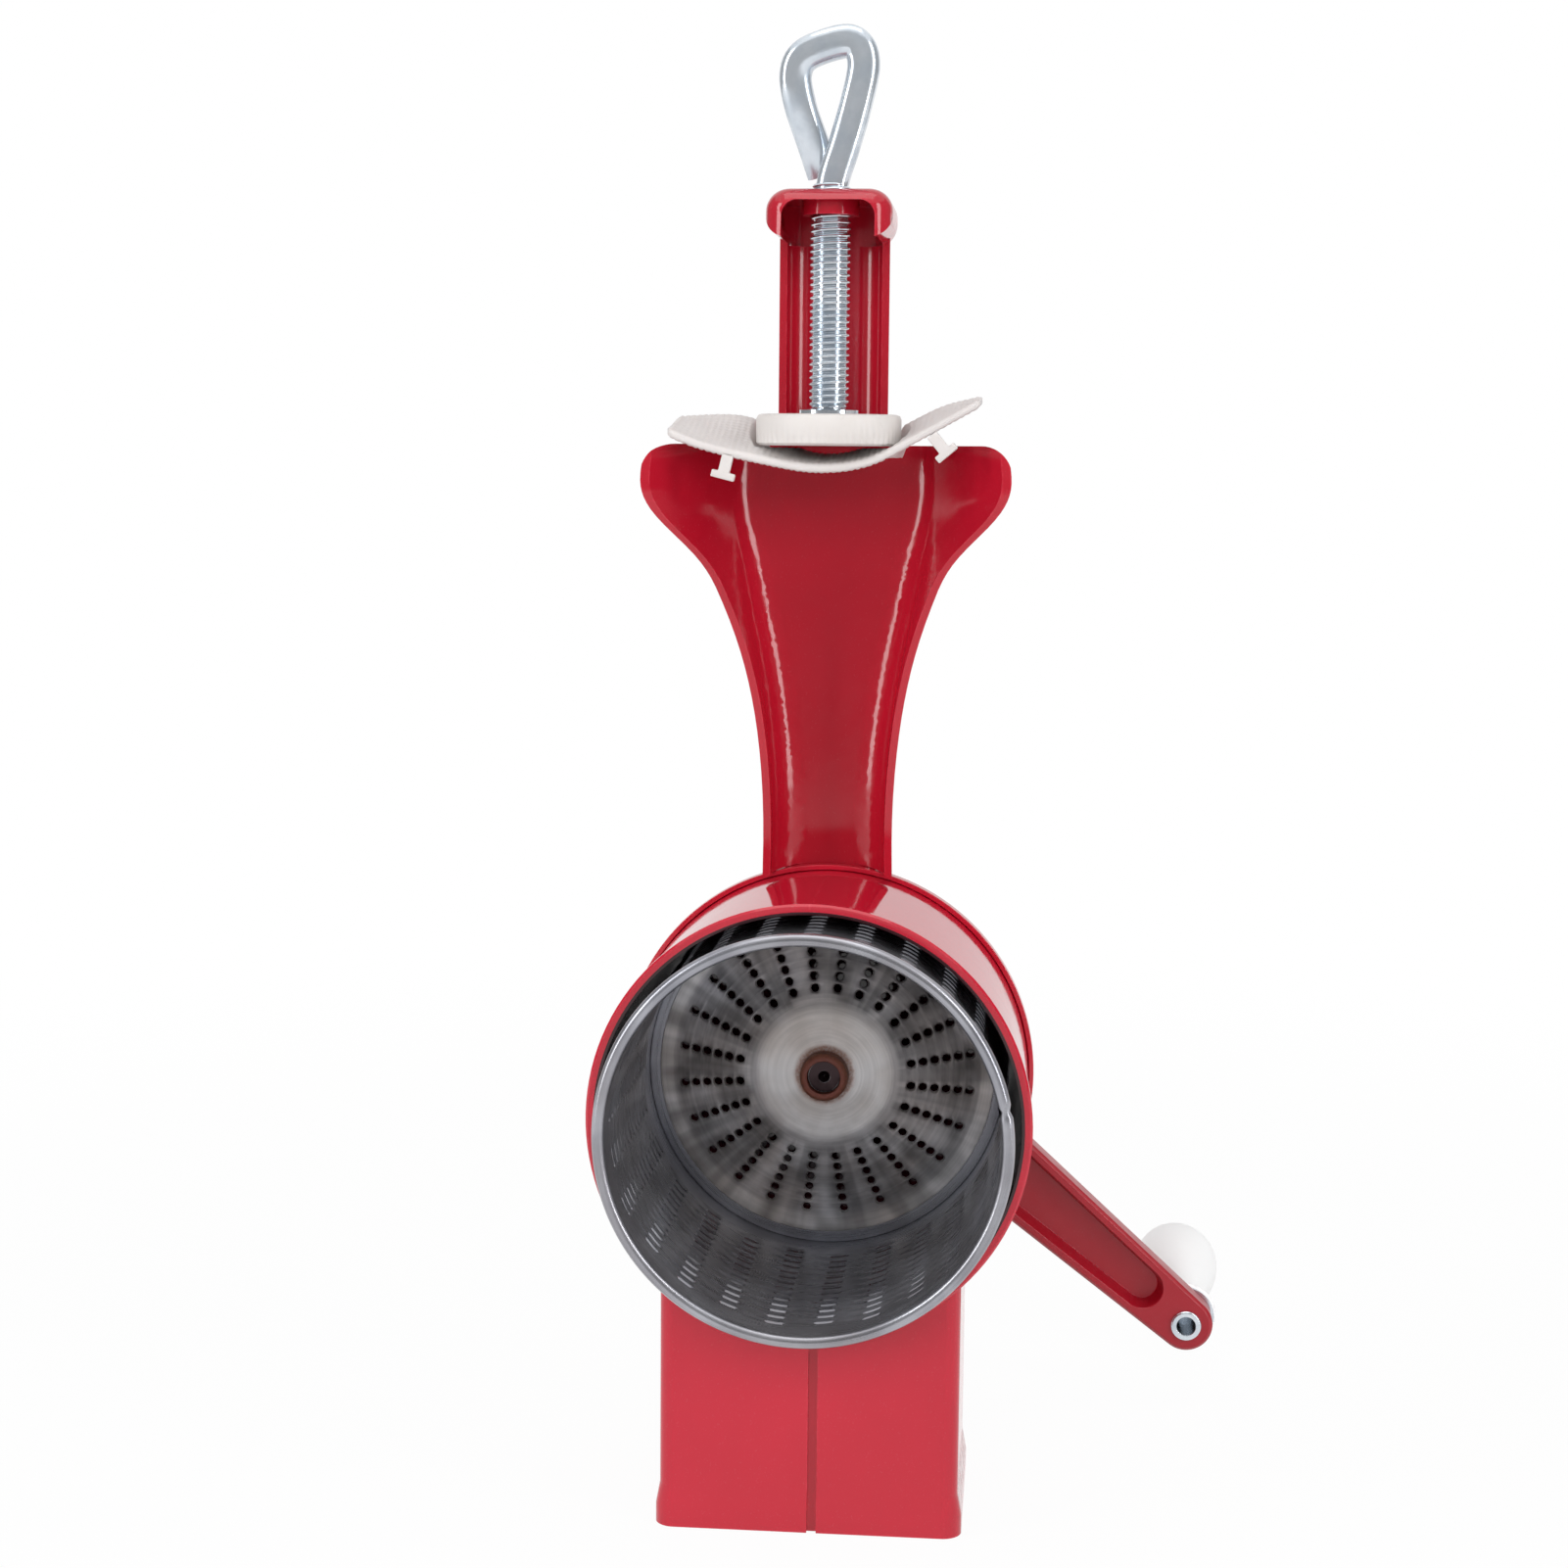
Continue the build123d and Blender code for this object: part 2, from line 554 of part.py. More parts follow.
# Jaw pad: a strip that sags between the frame's two lobes, with a hook near each end
with BuildPart() as jaw_pad:
    for place_y, edge in ((pad_y, PAD_FRONT_EDGE), (pad_y + PAD_DEPTH, PAD_BACK_EDGE)):
        with BuildSketch(front_plane(place_y)):
            with BuildLine():
                underside = Spline(edge)
                top = Spline([(x, z + PAD_SHEET) for x, z in edge])
                Line(underside @ 0, top @ 0)
                Line(underside @ 1, top @ 1)
            make_face()
    loft()
    for hook_x, hook_z, lean in HOOK_PLACES:
        hook_root = Plane(
            origin=(hook_x, pad_y + HOOK_SHEET, AXIS_HEIGHT + hook_z),
            x_dir=(math.cos(math.radians(lean)), 0, math.sin(math.radians(lean))),
            z_dir=(0, -1, 0),
        )
        with BuildSketch(hook_root):
            with Locations((0, 1 - HOOK_DROP / 2)):
                Rectangle(HOOK_WIDTH, HOOK_DROP)
            with Locations((0, 1 - HOOK_DROP)):
                Rectangle(HOOK_FOOT, HOOK_SHEET)
        extrude(amount=HOOK_SHEET)

# Drum shell: rolled sheet with a beaded mouth, its far edge turned in over the drum end
with BuildPart() as drum_shell:
    with BuildSketch(side_plane(0, AXIS_HEIGHT)):
        with BuildLine():
            Polyline(
                (drum_front_y, drum_bore_r),
                (drum_front_y, rim_r - RIM_EDGE),
                (drum_front_y + RIM_EDGE, rim_r),
                (drum_front_y + RIM_BEAD - RIM_EDGE, rim_r),
                (drum_front_y + RIM_BEAD, drum_r),
                (end_y, drum_r),
                (end_y, drum_bore_r - END_BAND),
                (end_y - DRUM_SHEET, drum_bore_r - END_BAND),
                (end_y - DRUM_SHEET, drum_bore_r),
                close=True,
            )
        make_face()
    revolve(axis=drum_axis)
    # grating slots in staggered columns round the wall
    slots_y = drum_front_y + SLOT_FIRST + (SLOT_ROWS - 1) * SLOT_PITCH / 2
    for column in range(1, SLOT_COLUMNS):
        heading = math.radians(SLOT_BLANK + column * 360 / SLOT_COLUMNS)
        wall = Plane(
            origin=(0, slots_y, AXIS_HEIGHT),
            x_dir=(0, 1, 0),
            z_dir=(math.cos(heading), 0, math.sin(heading)),
        )
        with BuildSketch(wall.offset(drum_bore_r - DRUM_SHEET)):
            with GridLocations(SLOT_PITCH, 0, SLOT_ROWS - (column + 1) % 2, 1):
                Rectangle(SLOT_WIDTH, SLOT_LENGTH)
    extrude(amount=3 * DRUM_SHEET, mode=Mode.SUBTRACT)

# One ray of the drum end's holes
with BuildSketch() as end_hole_ray:
    for place in range(END_HOLE_ROUNDS):
        hole_r = END_HOLE_START + place * END_HOLE_PITCH
        half_turn = math.degrees(END_HOLE / 2 / hole_r)
        with BuildLine():
            inner_arc = CenterArc((0, 0), hole_r - END_HOLE / 2, -half_turn, 2 * half_turn)
            outer_arc = CenterArc((0, 0), hole_r + END_HOLE / 2, -half_turn, 2 * half_turn)
            Line(inner_arc @ 0, outer_arc @ 0)
            Line(inner_arc @ 1, outer_arc @ 1)
        make_face()

# Drum end: dished towards the mouth, its flange behind the shell's turned edge
with BuildPart() as drum_end:
    with BuildSketch(side_plane(0, AXIS_HEIGHT)):
        with BuildLine():
            Polyline(
                (end_y, drum_r),
                (end_y, end_foot_r),
                (end_flat_y, END_FLAT / 2),
                (end_flat_y, HUB_NECK / 2 + RUN_GAP),
                (end_flat_y + DRUM_SHEET, HUB_NECK / 2 + RUN_GAP),
                (end_flat_y + DRUM_SHEET, END_FLAT / 2),
                (drum_back_y, end_foot_r),
                (drum_back_y, drum_r),
                close=True,
            )
        make_face()
        fillet(vertices().filter_by_position(Axis.Y, END_FLAT / 2 - 1, end_foot_r + 1), END_BEND)
    revolve(axis=drum_axis)
    with BuildSketch(front_plane(drum_back_y)):
        with PolarLocations(0, END_HOLE_RAYS):
            add(end_hole_ray.sketch)
    extrude(amount=2 * END_RISE, mode=Mode.SUBTRACT)

# Drum hub: threaded insert through the drum end
with BuildPart() as drum_hub:
    with BuildSketch(side_plane(0, AXIS_HEIGHT)):
        with BuildLine():
            Polyline(
                (hub_front_y, HUB_THREAD / 2),
                (hub_front_y, HUB_DIAMETER / 2 - 0.6),
                (hub_front_y + 0.6, HUB_DIAMETER / 2),
                (end_flat_y, HUB_DIAMETER / 2),
                (end_flat_y, HUB_NECK / 2),
                (end_flat_y + DRUM_SHEET, HUB_NECK / 2),
                (end_flat_y + DRUM_SHEET, HUB_COLLAR / 2),
                (hub_back_y, HUB_COLLAR / 2),
                (hub_back_y, HUB_THREAD / 2),
                close=True,
            )
        make_face()
    revolve(axis=drum_axis)

# Crank shaft: threaded end in the hub, journal, flats for the arm and a thread for its nut
with BuildPart() as crank_shaft:
    with BuildSketch(side_plane(0, AXIS_HEIGHT)):
        with BuildLine():
            Polyline(
                (hub_front_y + SHAFT_RECESS + SHAFT_DIMPLE / 2, 0),
                (hub_front_y + SHAFT_RECESS, SHAFT_DIMPLE / 2),
                (hub_front_y + SHAFT_RECESS, HUB_THREAD / 2 - SEAT_GAP),
                (hub_back_y, HUB_THREAD / 2 - SEAT_GAP),
                (hub_back_y, shaft_r),
                (arm_back_y - FACE_GAP, shaft_r),
                (arm_back_y - FACE_GAP, SHAFT_THREAD / 2),
                (shaft_back_y - 0.6, SHAFT_THREAD / 2),
                (shaft_back_y, SHAFT_THREAD / 2 - 0.6),
                (shaft_back_y, 0),
                close=True,
            )
        make_face()
    revolve(axis=drum_axis)
    with BuildSketch(crank_plane(arm_back_y)):
        Circle(SHAFT_DIAMETER)
        Rectangle(2 * SHAFT_DIAMETER, SHAFT_FLAT, mode=Mode.SUBTRACT)
    extrude(amount=CRANK_THICKNESS, mode=Mode.SUBTRACT)

with BuildPart() as thrust_washer:
    with BuildSketch(front_plane(hub_back_y + FACE_GAP + THRUST_WASHER)):
        Circle(THRUST_DIAMETER / 2)
        Circle(shaft_bore_r, mode=Mode.SUBTRACT)
    extrude(amount=THRUST_WASHER)

# Crank arm: tapers to the grip, with a tapered recess along its front
recess_end_r = CRANK_TIP + (CRANK_ROOT - CRANK_TIP) * 0.15 - RECESS_RIM
recess_end_x = CRANK_RADIUS - RECESS_STOP - recess_end_r
recess_start_r = CRANK_ROOT - (CRANK_ROOT - CRANK_TIP) * RECESS_START / CRANK_RADIUS - RECESS_RIM
with BuildPart() as crank_arm:
    with BuildSketch(crank_plane(arm_back_y)):
        Circle(CRANK_ROOT)
        with Locations((CRANK_RADIUS, 0)):
            Circle(CRANK_TIP)
        make_hull()
    extrude(amount=CRANK_THICKNESS)
    chamfer(edges().group_by(Axis.Y)[0], CRANK_EDGE)
    chamfer(edges().group_by(Axis.Y)[-1], CRANK_EDGE / 2)
    with BuildSketch(crank_plane(arm_y)):
        with Locations((RECESS_START, 0)):
            Circle(recess_start_r)
        with Locations((recess_end_x, 0)):
            Circle(recess_end_r)
        make_hull()
    extrude(amount=-RECESS_DEPTH, taper=RECESS_DRAFT, mode=Mode.SUBTRACT)
    with BuildSketch(crank_plane(arm_back_y)):
        Circle(shaft_r + RUN_GAP)
        Rectangle(2 * SHAFT_DIAMETER, SHAFT_FLAT + 2 * RUN_GAP, mode=Mode.INTERSECT)
        with Locations((CRANK_RADIUS, 0)):
            Circle(RIVET_DIAMETER / 2 + SEAT_GAP)
    extrude(amount=CRANK_THICKNESS, mode=Mode.SUBTRACT)

with BuildPart() as crank_washer:
    with BuildSketch(crank_plane(crank_nut_y)):
        Circle(CRANK_WASHER_DIAMETER / 2)
        Circle(SHAFT_THREAD / 2 + SEAT_GAP, mode=Mode.SUBTRACT)
    extrude(amount=CRANK_WASHER_THICKNESS)

with BuildPart() as crank_nut:
    with BuildSketch(crank_plane(crank_nut_y + CRANK_NUT_THICKNESS)):
        RegularPolygon(CRANK_NUT_FLATS / 2, 6, major_radius=False)
    extrude(amount=CRANK_NUT_THICKNESS)
    with BuildSketch(crank_plane(crank_nut_y + CRANK_NUT_THICKNESS)):
        Circle(CRANK_NUT_FLATS / 2 + 0.5)
    extrude(amount=CRANK_NUT_THICKNESS, taper=-20, mode=Mode.INTERSECT)
    with BuildSketch(crank_plane(crank_nut_y + CRANK_NUT_THICKNESS)):
        Circle(SHAFT_THREAD / 2 + SEAT_GAP)
    extrude(amount=CRANK_NUT_THICKNESS, mode=Mode.SUBTRACT)

# Grip: turns on a hollow rivet that is spread at both ends
with BuildPart() as grip:
    with BuildSketch(side_plane(rivet_x, rivet_z)):
        with BuildLine():
            Line((grip_y, RIVET_DIAMETER / 2 + RUN_GAP), (grip_y, GRIP_NECK / 2 - 0.8))
            Line((grip_y, GRIP_NECK / 2 - 0.8), (grip_y + 0.8, GRIP_NECK / 2))
            Spline(
                (grip_y + 0.8, GRIP_NECK / 2),
                (grip_y + GRIP_LENGTH * 0.7, GRIP_BULGE / 2),
                (grip_back_y - 4.0, GRIP_BULGE / 2 - 0.9),
                (grip_back_y, GRIP_END / 2),
            )
            Polyline(
                (grip_back_y, GRIP_END / 2),
                (grip_back_y, RIVET_FLANGE / 2 + FACE_GAP),
                (rivet_back_y, RIVET_FLANGE / 2 + FACE_GAP),
                (rivet_back_y, RIVET_DIAMETER / 2 + RUN_GAP),
                (grip_y, RIVET_DIAMETER / 2 + RUN_GAP),
            )
        make_face()
    revolve(axis=rivet_axis)

with BuildPart() as grip_rivet:
    with BuildSketch(side_plane(rivet_x, rivet_z)):
        with BuildLine():
            Polyline(
                (arm_y - RIVET_HEAD_HEIGHT, RIVET_BORE / 2),
                (arm_y - RIVET_HEAD_HEIGHT, RIVET_HEAD / 2 - 0.3),
                (arm_y - RIVET_HEAD_HEIGHT + 0.3, RIVET_HEAD / 2),
                (arm_y, RIVET_HEAD / 2),
                (arm_y, RIVET_DIAMETER / 2),
                (rivet_back_y + FACE_GAP, RIVET_DIAMETER / 2),
                (rivet_back_y + FACE_GAP, RIVET_FLANGE / 2),
                (rivet_back_y + FACE_GAP + 0.7, RIVET_FLANGE / 2 - 0.3),
                (rivet_back_y + FACE_GAP + 0.7, RIVET_BORE / 2),
                close=True,
            )
        make_face()
    revolve(axis=rivet_axis)

with BuildPart() as grip_washer:
    with BuildSketch(side_plane(rivet_x, rivet_z)):
        with Locations((arm_back_y + GRIP_WASHER_THICKNESS / 2, (GRIP_WASHER_DIAMETER + RIVET_DIAMETER) / 4)):
            Rectangle(GRIP_WASHER_THICKNESS, (GRIP_WASHER_DIAMETER - RIVET_DIAMETER) / 2 - 2 * RUN_GAP)
    revolve(axis=rivet_axis)

finish(housing_left.part, "housing_left")
finish(housing_right.part, "housing_right")
finish(back_plate.part, "back_plate")
finish(frame.part, "frame")
finish(bearing_tube.part, "bearing_tube")
finish(front_bush.part, "front_bush")
finish(rear_bush.part, "rear_bush")
finish(clamp_nut.part, "clamp_nut")
finish(clamp_screw.part, "clamp_screw")
finish(swivel_washer.part, "swivel_washer")
finish(pressure_disc.part, "pressure_disc")
finish(jaw_pad.part, "jaw_pad")
finish(drum_shell.part, "drum_shell")
finish(drum_end.part, "drum_end")
finish(drum_hub.part, "drum_hub")
finish(crank_shaft.part, "crank_shaft")
finish(thrust_washer.part, "thrust_washer")
finish(crank_arm.part, "crank_arm")
finish(crank_washer.part, "crank_washer")
finish(crank_nut.part, "crank_nut")
finish(grip.part, "grip")
finish(grip_rivet.part, "grip_rivet")
finish(grip_washer.part, "grip_washer")
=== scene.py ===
"""Looks of a hand-cranked rotary cheese grater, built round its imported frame.

Every sub-assembly is a class that reads its places from the frame, builds the detailed
pieces that stand for the frame's nodes, and dresses them in their finishes.
Lengths in the dataclass fields are in metres, and angles are in degrees.
"""

from __future__ import annotations

import logging
import math
from collections.abc import Callable, Iterable, Sequence
from dataclasses import dataclass, field
from enum import Enum

import bmesh
import bpy
from mathutils import Matrix, Vector
from mathutils.bvhtree import BVHTree


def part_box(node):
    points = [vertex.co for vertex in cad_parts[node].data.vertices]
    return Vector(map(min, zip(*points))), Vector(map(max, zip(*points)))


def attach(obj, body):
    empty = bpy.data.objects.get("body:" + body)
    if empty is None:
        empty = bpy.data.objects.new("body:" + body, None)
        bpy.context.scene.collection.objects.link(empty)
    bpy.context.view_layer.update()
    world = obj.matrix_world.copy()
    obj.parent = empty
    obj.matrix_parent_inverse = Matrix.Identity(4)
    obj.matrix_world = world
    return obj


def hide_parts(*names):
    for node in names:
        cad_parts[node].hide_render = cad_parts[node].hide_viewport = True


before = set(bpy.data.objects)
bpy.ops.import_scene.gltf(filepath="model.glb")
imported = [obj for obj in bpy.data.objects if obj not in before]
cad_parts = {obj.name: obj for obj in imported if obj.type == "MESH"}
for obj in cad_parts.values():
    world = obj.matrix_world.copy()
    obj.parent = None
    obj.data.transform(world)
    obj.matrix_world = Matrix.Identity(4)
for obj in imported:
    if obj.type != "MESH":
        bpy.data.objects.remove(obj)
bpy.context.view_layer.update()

LOG = logging.getLogger("grater")
MM = 0.001
Pair = tuple[float, float]
Triple = tuple[float, float, float]
Colour = Triple
Placer = Callable[[float, float, float], Vector]
Socket = bpy.types.NodeSocket
Piece = bpy.types.Object


class Body(Enum):
    """The frame's bodies, each moving as one."""

    STAND = "stand"
    DRUM = "drum"
    GRIP = "grip"
    CLAMP = "clamp"
    SCREW = "screw"


class Slot(Enum):
    """The record's material slots, named alongside each new piece."""

    FRAME_ENAMEL = "frame_enamel"
    HOUSING_ENAMEL = "housing_enamel"
    CRANK_ENAMEL = "crank_enamel"
    ZINC_STEEL = "zinc_steel"
    DISC_PLASTIC = "disc_plastic"
    PAD_PLASTIC = "pad_plastic"
    GRIP_PLASTIC = "grip_plastic"
    DRUM_STEEL = "drum_steel"
    HUB_STEEL = "hub_steel"
    RIVET_STEEL = "rivet_steel"


@dataclass(frozen=True)
class Span:
    """A node's box at rest."""

    low: Vector
    high: Vector

    @classmethod
    def of(cls, node: str) -> Span:
        """Measure a node of the frame.

        Args:
            node: The node's name.

        Returns:
            Its box.
        """
        return cls(*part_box(node))

    @property
    def middle(self) -> Vector:
        """The box's centre."""
        return (self.low + self.high) / 2

    @property
    def size(self) -> Vector:
        """The box's three side lengths."""
        return self.high - self.low


class Axes:
    """The object's two long axes, taken from the frame."""

    drum_height: float = Span.of("drum_end").middle.z
    screw_y: float = Span.of("pressure_disc").middle.y


def linear(red: int, green: int, blue: int) -> Colour:
    """Turn an eight-bit display colour into the linear one that shaders take.

    Args:
        red: Red from 0 to 255.
        green: Green from 0 to 255.
        blue: Blue from 0 to 255.

    Returns:
        The linear colour.
    """
    shares = (value / 255 for value in (red, green, blue))
    return tuple(s / 12.92 if s <= 0.04045 else ((s + 0.055) / 1.055) ** 2.4 for s in shares)


# ---------------------------------------------------------------- node wiring


class Wiring:
    """Adds nodes to a shader tree and joins them in one call each."""

    def __init__(self, tree: bpy.types.NodeTree) -> None:
        """Keep the tree.

        Args:
            tree: The material's, world's or group's node tree.
        """
        self.tree = tree

    def node(self, kind: str, inputs: dict | None = None, **settings: object) -> bpy.types.Node:
        """Add one node.

        Args:
            kind: The node's type name, without its ShaderNode prefix.
            inputs: What each input takes, by name or number: a socket to link, or a value.
            settings: Properties of the node.

        Returns:
            The new node.
        """
        made = self.tree.nodes.new("ShaderNode" + kind)
        for name, value in settings.items():
            setattr(made, name, value)
        for key, value in (inputs or {}).items():
            socket = made.inputs[key]
            if isinstance(value, Socket):
                self.tree.links.new(value, socket)
            elif socket.type == "RGBA":
                socket.default_value = (*value, 1.0)
            else:
                socket.default_value = value
        return made

    @property
    def place(self) -> Socket:
        """The shaded point in its object's own coordinates."""
        return self.node("TexCoord").outputs["Object"]

    def axis(self, vector: Socket, name: str) -> Socket:
        """Take one coordinate of a vector.

        Args:
            vector: The vector.
            name: X, Y or Z.

        Returns:
            The coordinate's socket.
        """
        return self.node("SeparateXYZ", {0: vector}).outputs[name]

    def math(self, operation: str, *values: object) -> Socket:
        """Add a Math node.

        Args:
            operation: Its operation.
            values: Its inputs in order, sockets or numbers.

        Returns:
            Its output socket.
        """
        return self.node("Math", dict(enumerate(values)), operation=operation).outputs[0]

    def times(self, first: object, second: object) -> Socket:
        """Multiply two values.

        Args:
            first: A socket or number.
            second: Another.

        Returns:
            The product's socket.
        """
        return self.math("MULTIPLY", first, second)

    def noise(self, vector: Socket, scale: object, detail: float = 3.0) -> Socket:
        """Add a noise texture.

        Args:
            vector: Where it is read.
            scale: Its scale, a number or a socket.
            detail: How many octaves it has.

        Returns:
            Its value's socket.
        """
        made = self.node("TexNoise", {"Vector": vector, "Scale": scale, "Detail": detail})
        return made.outputs["Fac"]

    def spread(self, value: Socket, low: object, high: object,
               to_low: object = 0.0, to_high: object = 1.0) -> Socket:
        """Map a range of a value onto another, with both ends held.

        Args:
            value: The value.
            low: What maps to to_low.
            high: What maps to to_high.
            to_low: The new range's start.
            to_high: The new range's end.

        Returns:
            The mapped value's socket.
        """
        made = self.node(
            "MapRange",
            {"Value": value, "From Min": low, "From Max": high, "To Min": to_low, "To Max": to_high},
            interpolation_type="SMOOTHSTEP",
        )
        return made.outputs["Result"]

    def blend(self, share: object, first: object, second: object, mode: str = "MIX") -> Socket:
        """Blend two colours.

        Args:
            share: How much of the second shows.
            first: The first colour or its socket.
            second: The second colour or its socket.
            mode: The blend mode.

        Returns:
            The blended colour's socket.
        """
        made = self.node("Mix", {0: share, 6: first, 7: second}, data_type="RGBA", blend_type=mode)
        return made.outputs[2]


def rewired(block: bpy.types.Material | bpy.types.World) -> Wiring:
    """Empty a material's or world's node tree.

    Args:
        block: The material or world.

    Returns:
        The wiring of its empty tree.
    """
    block.use_nodes = True
    block.node_tree.nodes.clear()
    return Wiring(block.node_tree)


class SharedEffect(Enum):
    """Node groups that more than one finish uses."""

    EDGE_WEAR = "edge_wear"
    GRAIN = "fine_grain"
    MOTTLE = "mottle"
    SPIN_BRUSH = "spin_brush"
    DUST = "settled_dust"


class EffectShop:
    """Builds each shared node group once and places it in a finish.

    Its bands are where a noise or a direction starts to count and where it counts in full.
    """

    BEND_COSINES: Pair = (0.995, 0.86)
    RUB_BAND: Pair = (0.38, 0.62)
    GRAIN_BAND: Pair = (0.35, 0.65)
    CLOUD_BAND: Pair = (0.36, 0.64)
    SPECK_BAND: Pair = (0.66, 0.74)
    UPWARD_BAND: Pair = (-0.2, 0.9)
    RUB_SCALE = 420.0
    FINE_TO_COARSE = 3.7
    RAY_LENGTH = 60.0
    LEAST_DUST = 0.25

    @staticmethod
    def group(effect: SharedEffect) -> bpy.types.NodeTree:
        """Find or build a shared group.

        Args:
            effect: Which effect.

        Returns:
            The group's node tree.
        """
        known = bpy.data.node_groups.get(effect.value)
        if known:
            return known
        tree = bpy.data.node_groups.new(effect.value, "ShaderNodeTree")
        getattr(EffectShop, "_" + effect.value)(tree)
        return tree

    @staticmethod
    def place(wires: Wiring, effect: SharedEffect, inputs: dict) -> bpy.types.Node:
        """Put a shared group into a material.

        Args:
            wires: The material's wiring.
            effect: Which effect.
            inputs: The group's own values.

        Returns:
            The group node.
        """
        return wires.node("Group", inputs, node_tree=EffectShop.group(effect))

    @staticmethod
    def _sockets(tree: bpy.types.NodeTree, inputs: dict,
                 outputs: dict) -> tuple[Wiring, dict, bpy.types.Node]:
        """Give a group its sockets.

        Args:
            tree: The group.
            inputs: Each input's name with its default value; a tuple of three is a colour.
            outputs: Each output's name with its socket kind.

        Returns:
            The group's wiring, its input sockets by name and its output node.
        """
        for name, default in inputs.items():
            kind = "NodeSocketFloat" if isinstance(default, float) else "NodeSocketColor"
            if name == "Centre":
                kind = "NodeSocketVector"
            made = tree.interface.new_socket(name, in_out="INPUT", socket_type=kind)
            made.default_value = (*default, 1.0) if kind == "NodeSocketColor" else default
        for name, kind in outputs.items():
            tree.interface.new_socket(name, in_out="OUTPUT", socket_type=kind)
        entry = tree.nodes.new("NodeGroupInput")
        leave = tree.nodes.new("NodeGroupOutput")
        return Wiring(tree), {name: entry.outputs[name] for name in inputs}, leave

    @staticmethod
    def _edge_wear(tree: bpy.types.NodeTree) -> None:
        """Mask of the edges that handling has rubbed, broken up by noise.

        Args:
            tree: The empty group.
        """
        wires, inputs, leave = EffectShop._sockets(
            tree, {"Radius": 0.0006, "Amount": 0.5}, {"Mask": "NodeSocketFloat"}
        )
        rounded = wires.node("Bevel", {"Radius": inputs["Radius"]}, samples=4).outputs["Normal"]
        true_normal = wires.node("NewGeometry").outputs["Normal"]
        alike = wires.node("VectorMath", {0: rounded, 1: true_normal}, operation="DOT_PRODUCT")
        edge = wires.spread(alike.outputs["Value"], *EffectShop.BEND_COSINES)
        place = wires.place
        broken = wires.spread(wires.noise(place, EffectShop.RUB_SCALE, 4.0), *EffectShop.RUB_BAND)
        mask = wires.times(wires.times(edge, broken), inputs["Amount"])
        tree.links.new(mask, leave.inputs["Mask"])

    @staticmethod
    def _fine_grain(tree: bpy.types.NodeTree) -> None:
        """Height and mask of a fine random grain.

        Args:
            tree: The empty group.
        """
        wires, inputs, leave = EffectShop._sockets(
            tree, {"Scale": 900.0, "Softness": 0.5}, {"Height": "NodeSocketFloat", "Mask": "NodeSocketFloat"}
        )
        place = wires.place
        coarse = wires.noise(place, inputs["Scale"], 2.0)
        fine = wires.noise(place, wires.times(inputs["Scale"], EffectShop.FINE_TO_COARSE), 2.0)
        softened = wires.times(coarse, inputs["Softness"])
        rest = wires.math("SUBTRACT", 1.0, inputs["Softness"])
        height = wires.math("ADD", softened, wires.times(fine, rest))
        tree.links.new(height, leave.inputs["Height"])
        tree.links.new(wires.spread(height, *EffectShop.GRAIN_BAND), leave.inputs["Mask"])

    @staticmethod
    def _mottle(tree: bpy.types.NodeTree) -> None:
        """Slow drift between two colours over a surface.

        Args:
            tree: The empty group.
        """
        wires, inputs, leave = EffectShop._sockets(
            tree,
            {"Colour": (0.5, 0.5, 0.5), "Second": (0.4, 0.4, 0.4), "Scale": 30.0, "Contrast": 0.5},
            {"Colour": "NodeSocketColor", "Mask": "NodeSocketFloat"},
        )
        place = wires.place
        cloud = wires.spread(wires.noise(place, inputs["Scale"], 5.0), *EffectShop.CLOUD_BAND)
        share = wires.times(cloud, inputs["Contrast"])
        tree.links.new(wires.blend(share, inputs["Colour"], inputs["Second"]), leave.inputs["Colour"])
        tree.links.new(cloud, leave.inputs["Mask"])

    @staticmethod
    def _spin_brush(tree: bpy.types.NodeTree) -> None:
        """Streaks round and along an axis parallel to Y, with the radius, the ring streaks and radial rays as
        outputs; the rays serve only as painted ray shade.

        Args:
            tree: The empty group.
        """
        wires, inputs, leave = EffectShop._sockets(
            tree,
            {"Centre": (0.0, 0.0, 0.0), "Rings": 900.0, "Rays": 40.0},
            {"Radius": "NodeSocketFloat", "Rings": "NodeSocketFloat", "Rays": "NodeSocketFloat"},
        )
        place = wires.place
        offset = wires.node("VectorMath", {0: place, 1: inputs["Centre"]}, operation="SUBTRACT").outputs[0]
        parts = wires.node("SeparateXYZ", {0: offset})
        across, along, up = (parts.outputs[axis] for axis in "XYZ")
        flat = wires.node("CombineXYZ", {0: across, 2: up}).outputs[0]
        radius = wires.node("VectorMath", {0: flat}, operation="LENGTH").outputs["Value"]
        heading = wires.node("VectorMath", {0: flat}, operation="NORMALIZE").outputs[0]
        turned = wires.node("SeparateXYZ", {0: heading})
        ring_place = wires.node(
            "CombineXYZ",
            {
                0: wires.times(radius, inputs["Rings"]),
                1: wires.times(along, inputs["Rings"]),
                2: turned.outputs["X"],
            },
        ).outputs[0]
        ray_place = wires.node(
            "CombineXYZ",
            {
                0: wires.times(turned.outputs["X"], inputs["Rays"]),
                1: wires.times(turned.outputs["Z"], inputs["Rays"]),
                2: wires.times(radius, EffectShop.RAY_LENGTH),
            },
        ).outputs[0]
        tree.links.new(radius, leave.inputs["Radius"])
        tree.links.new(wires.noise(ring_place, 1.0, 3.0), leave.inputs["Rings"])
        tree.links.new(wires.noise(ray_place, 0.25, 2.0), leave.inputs["Rays"])

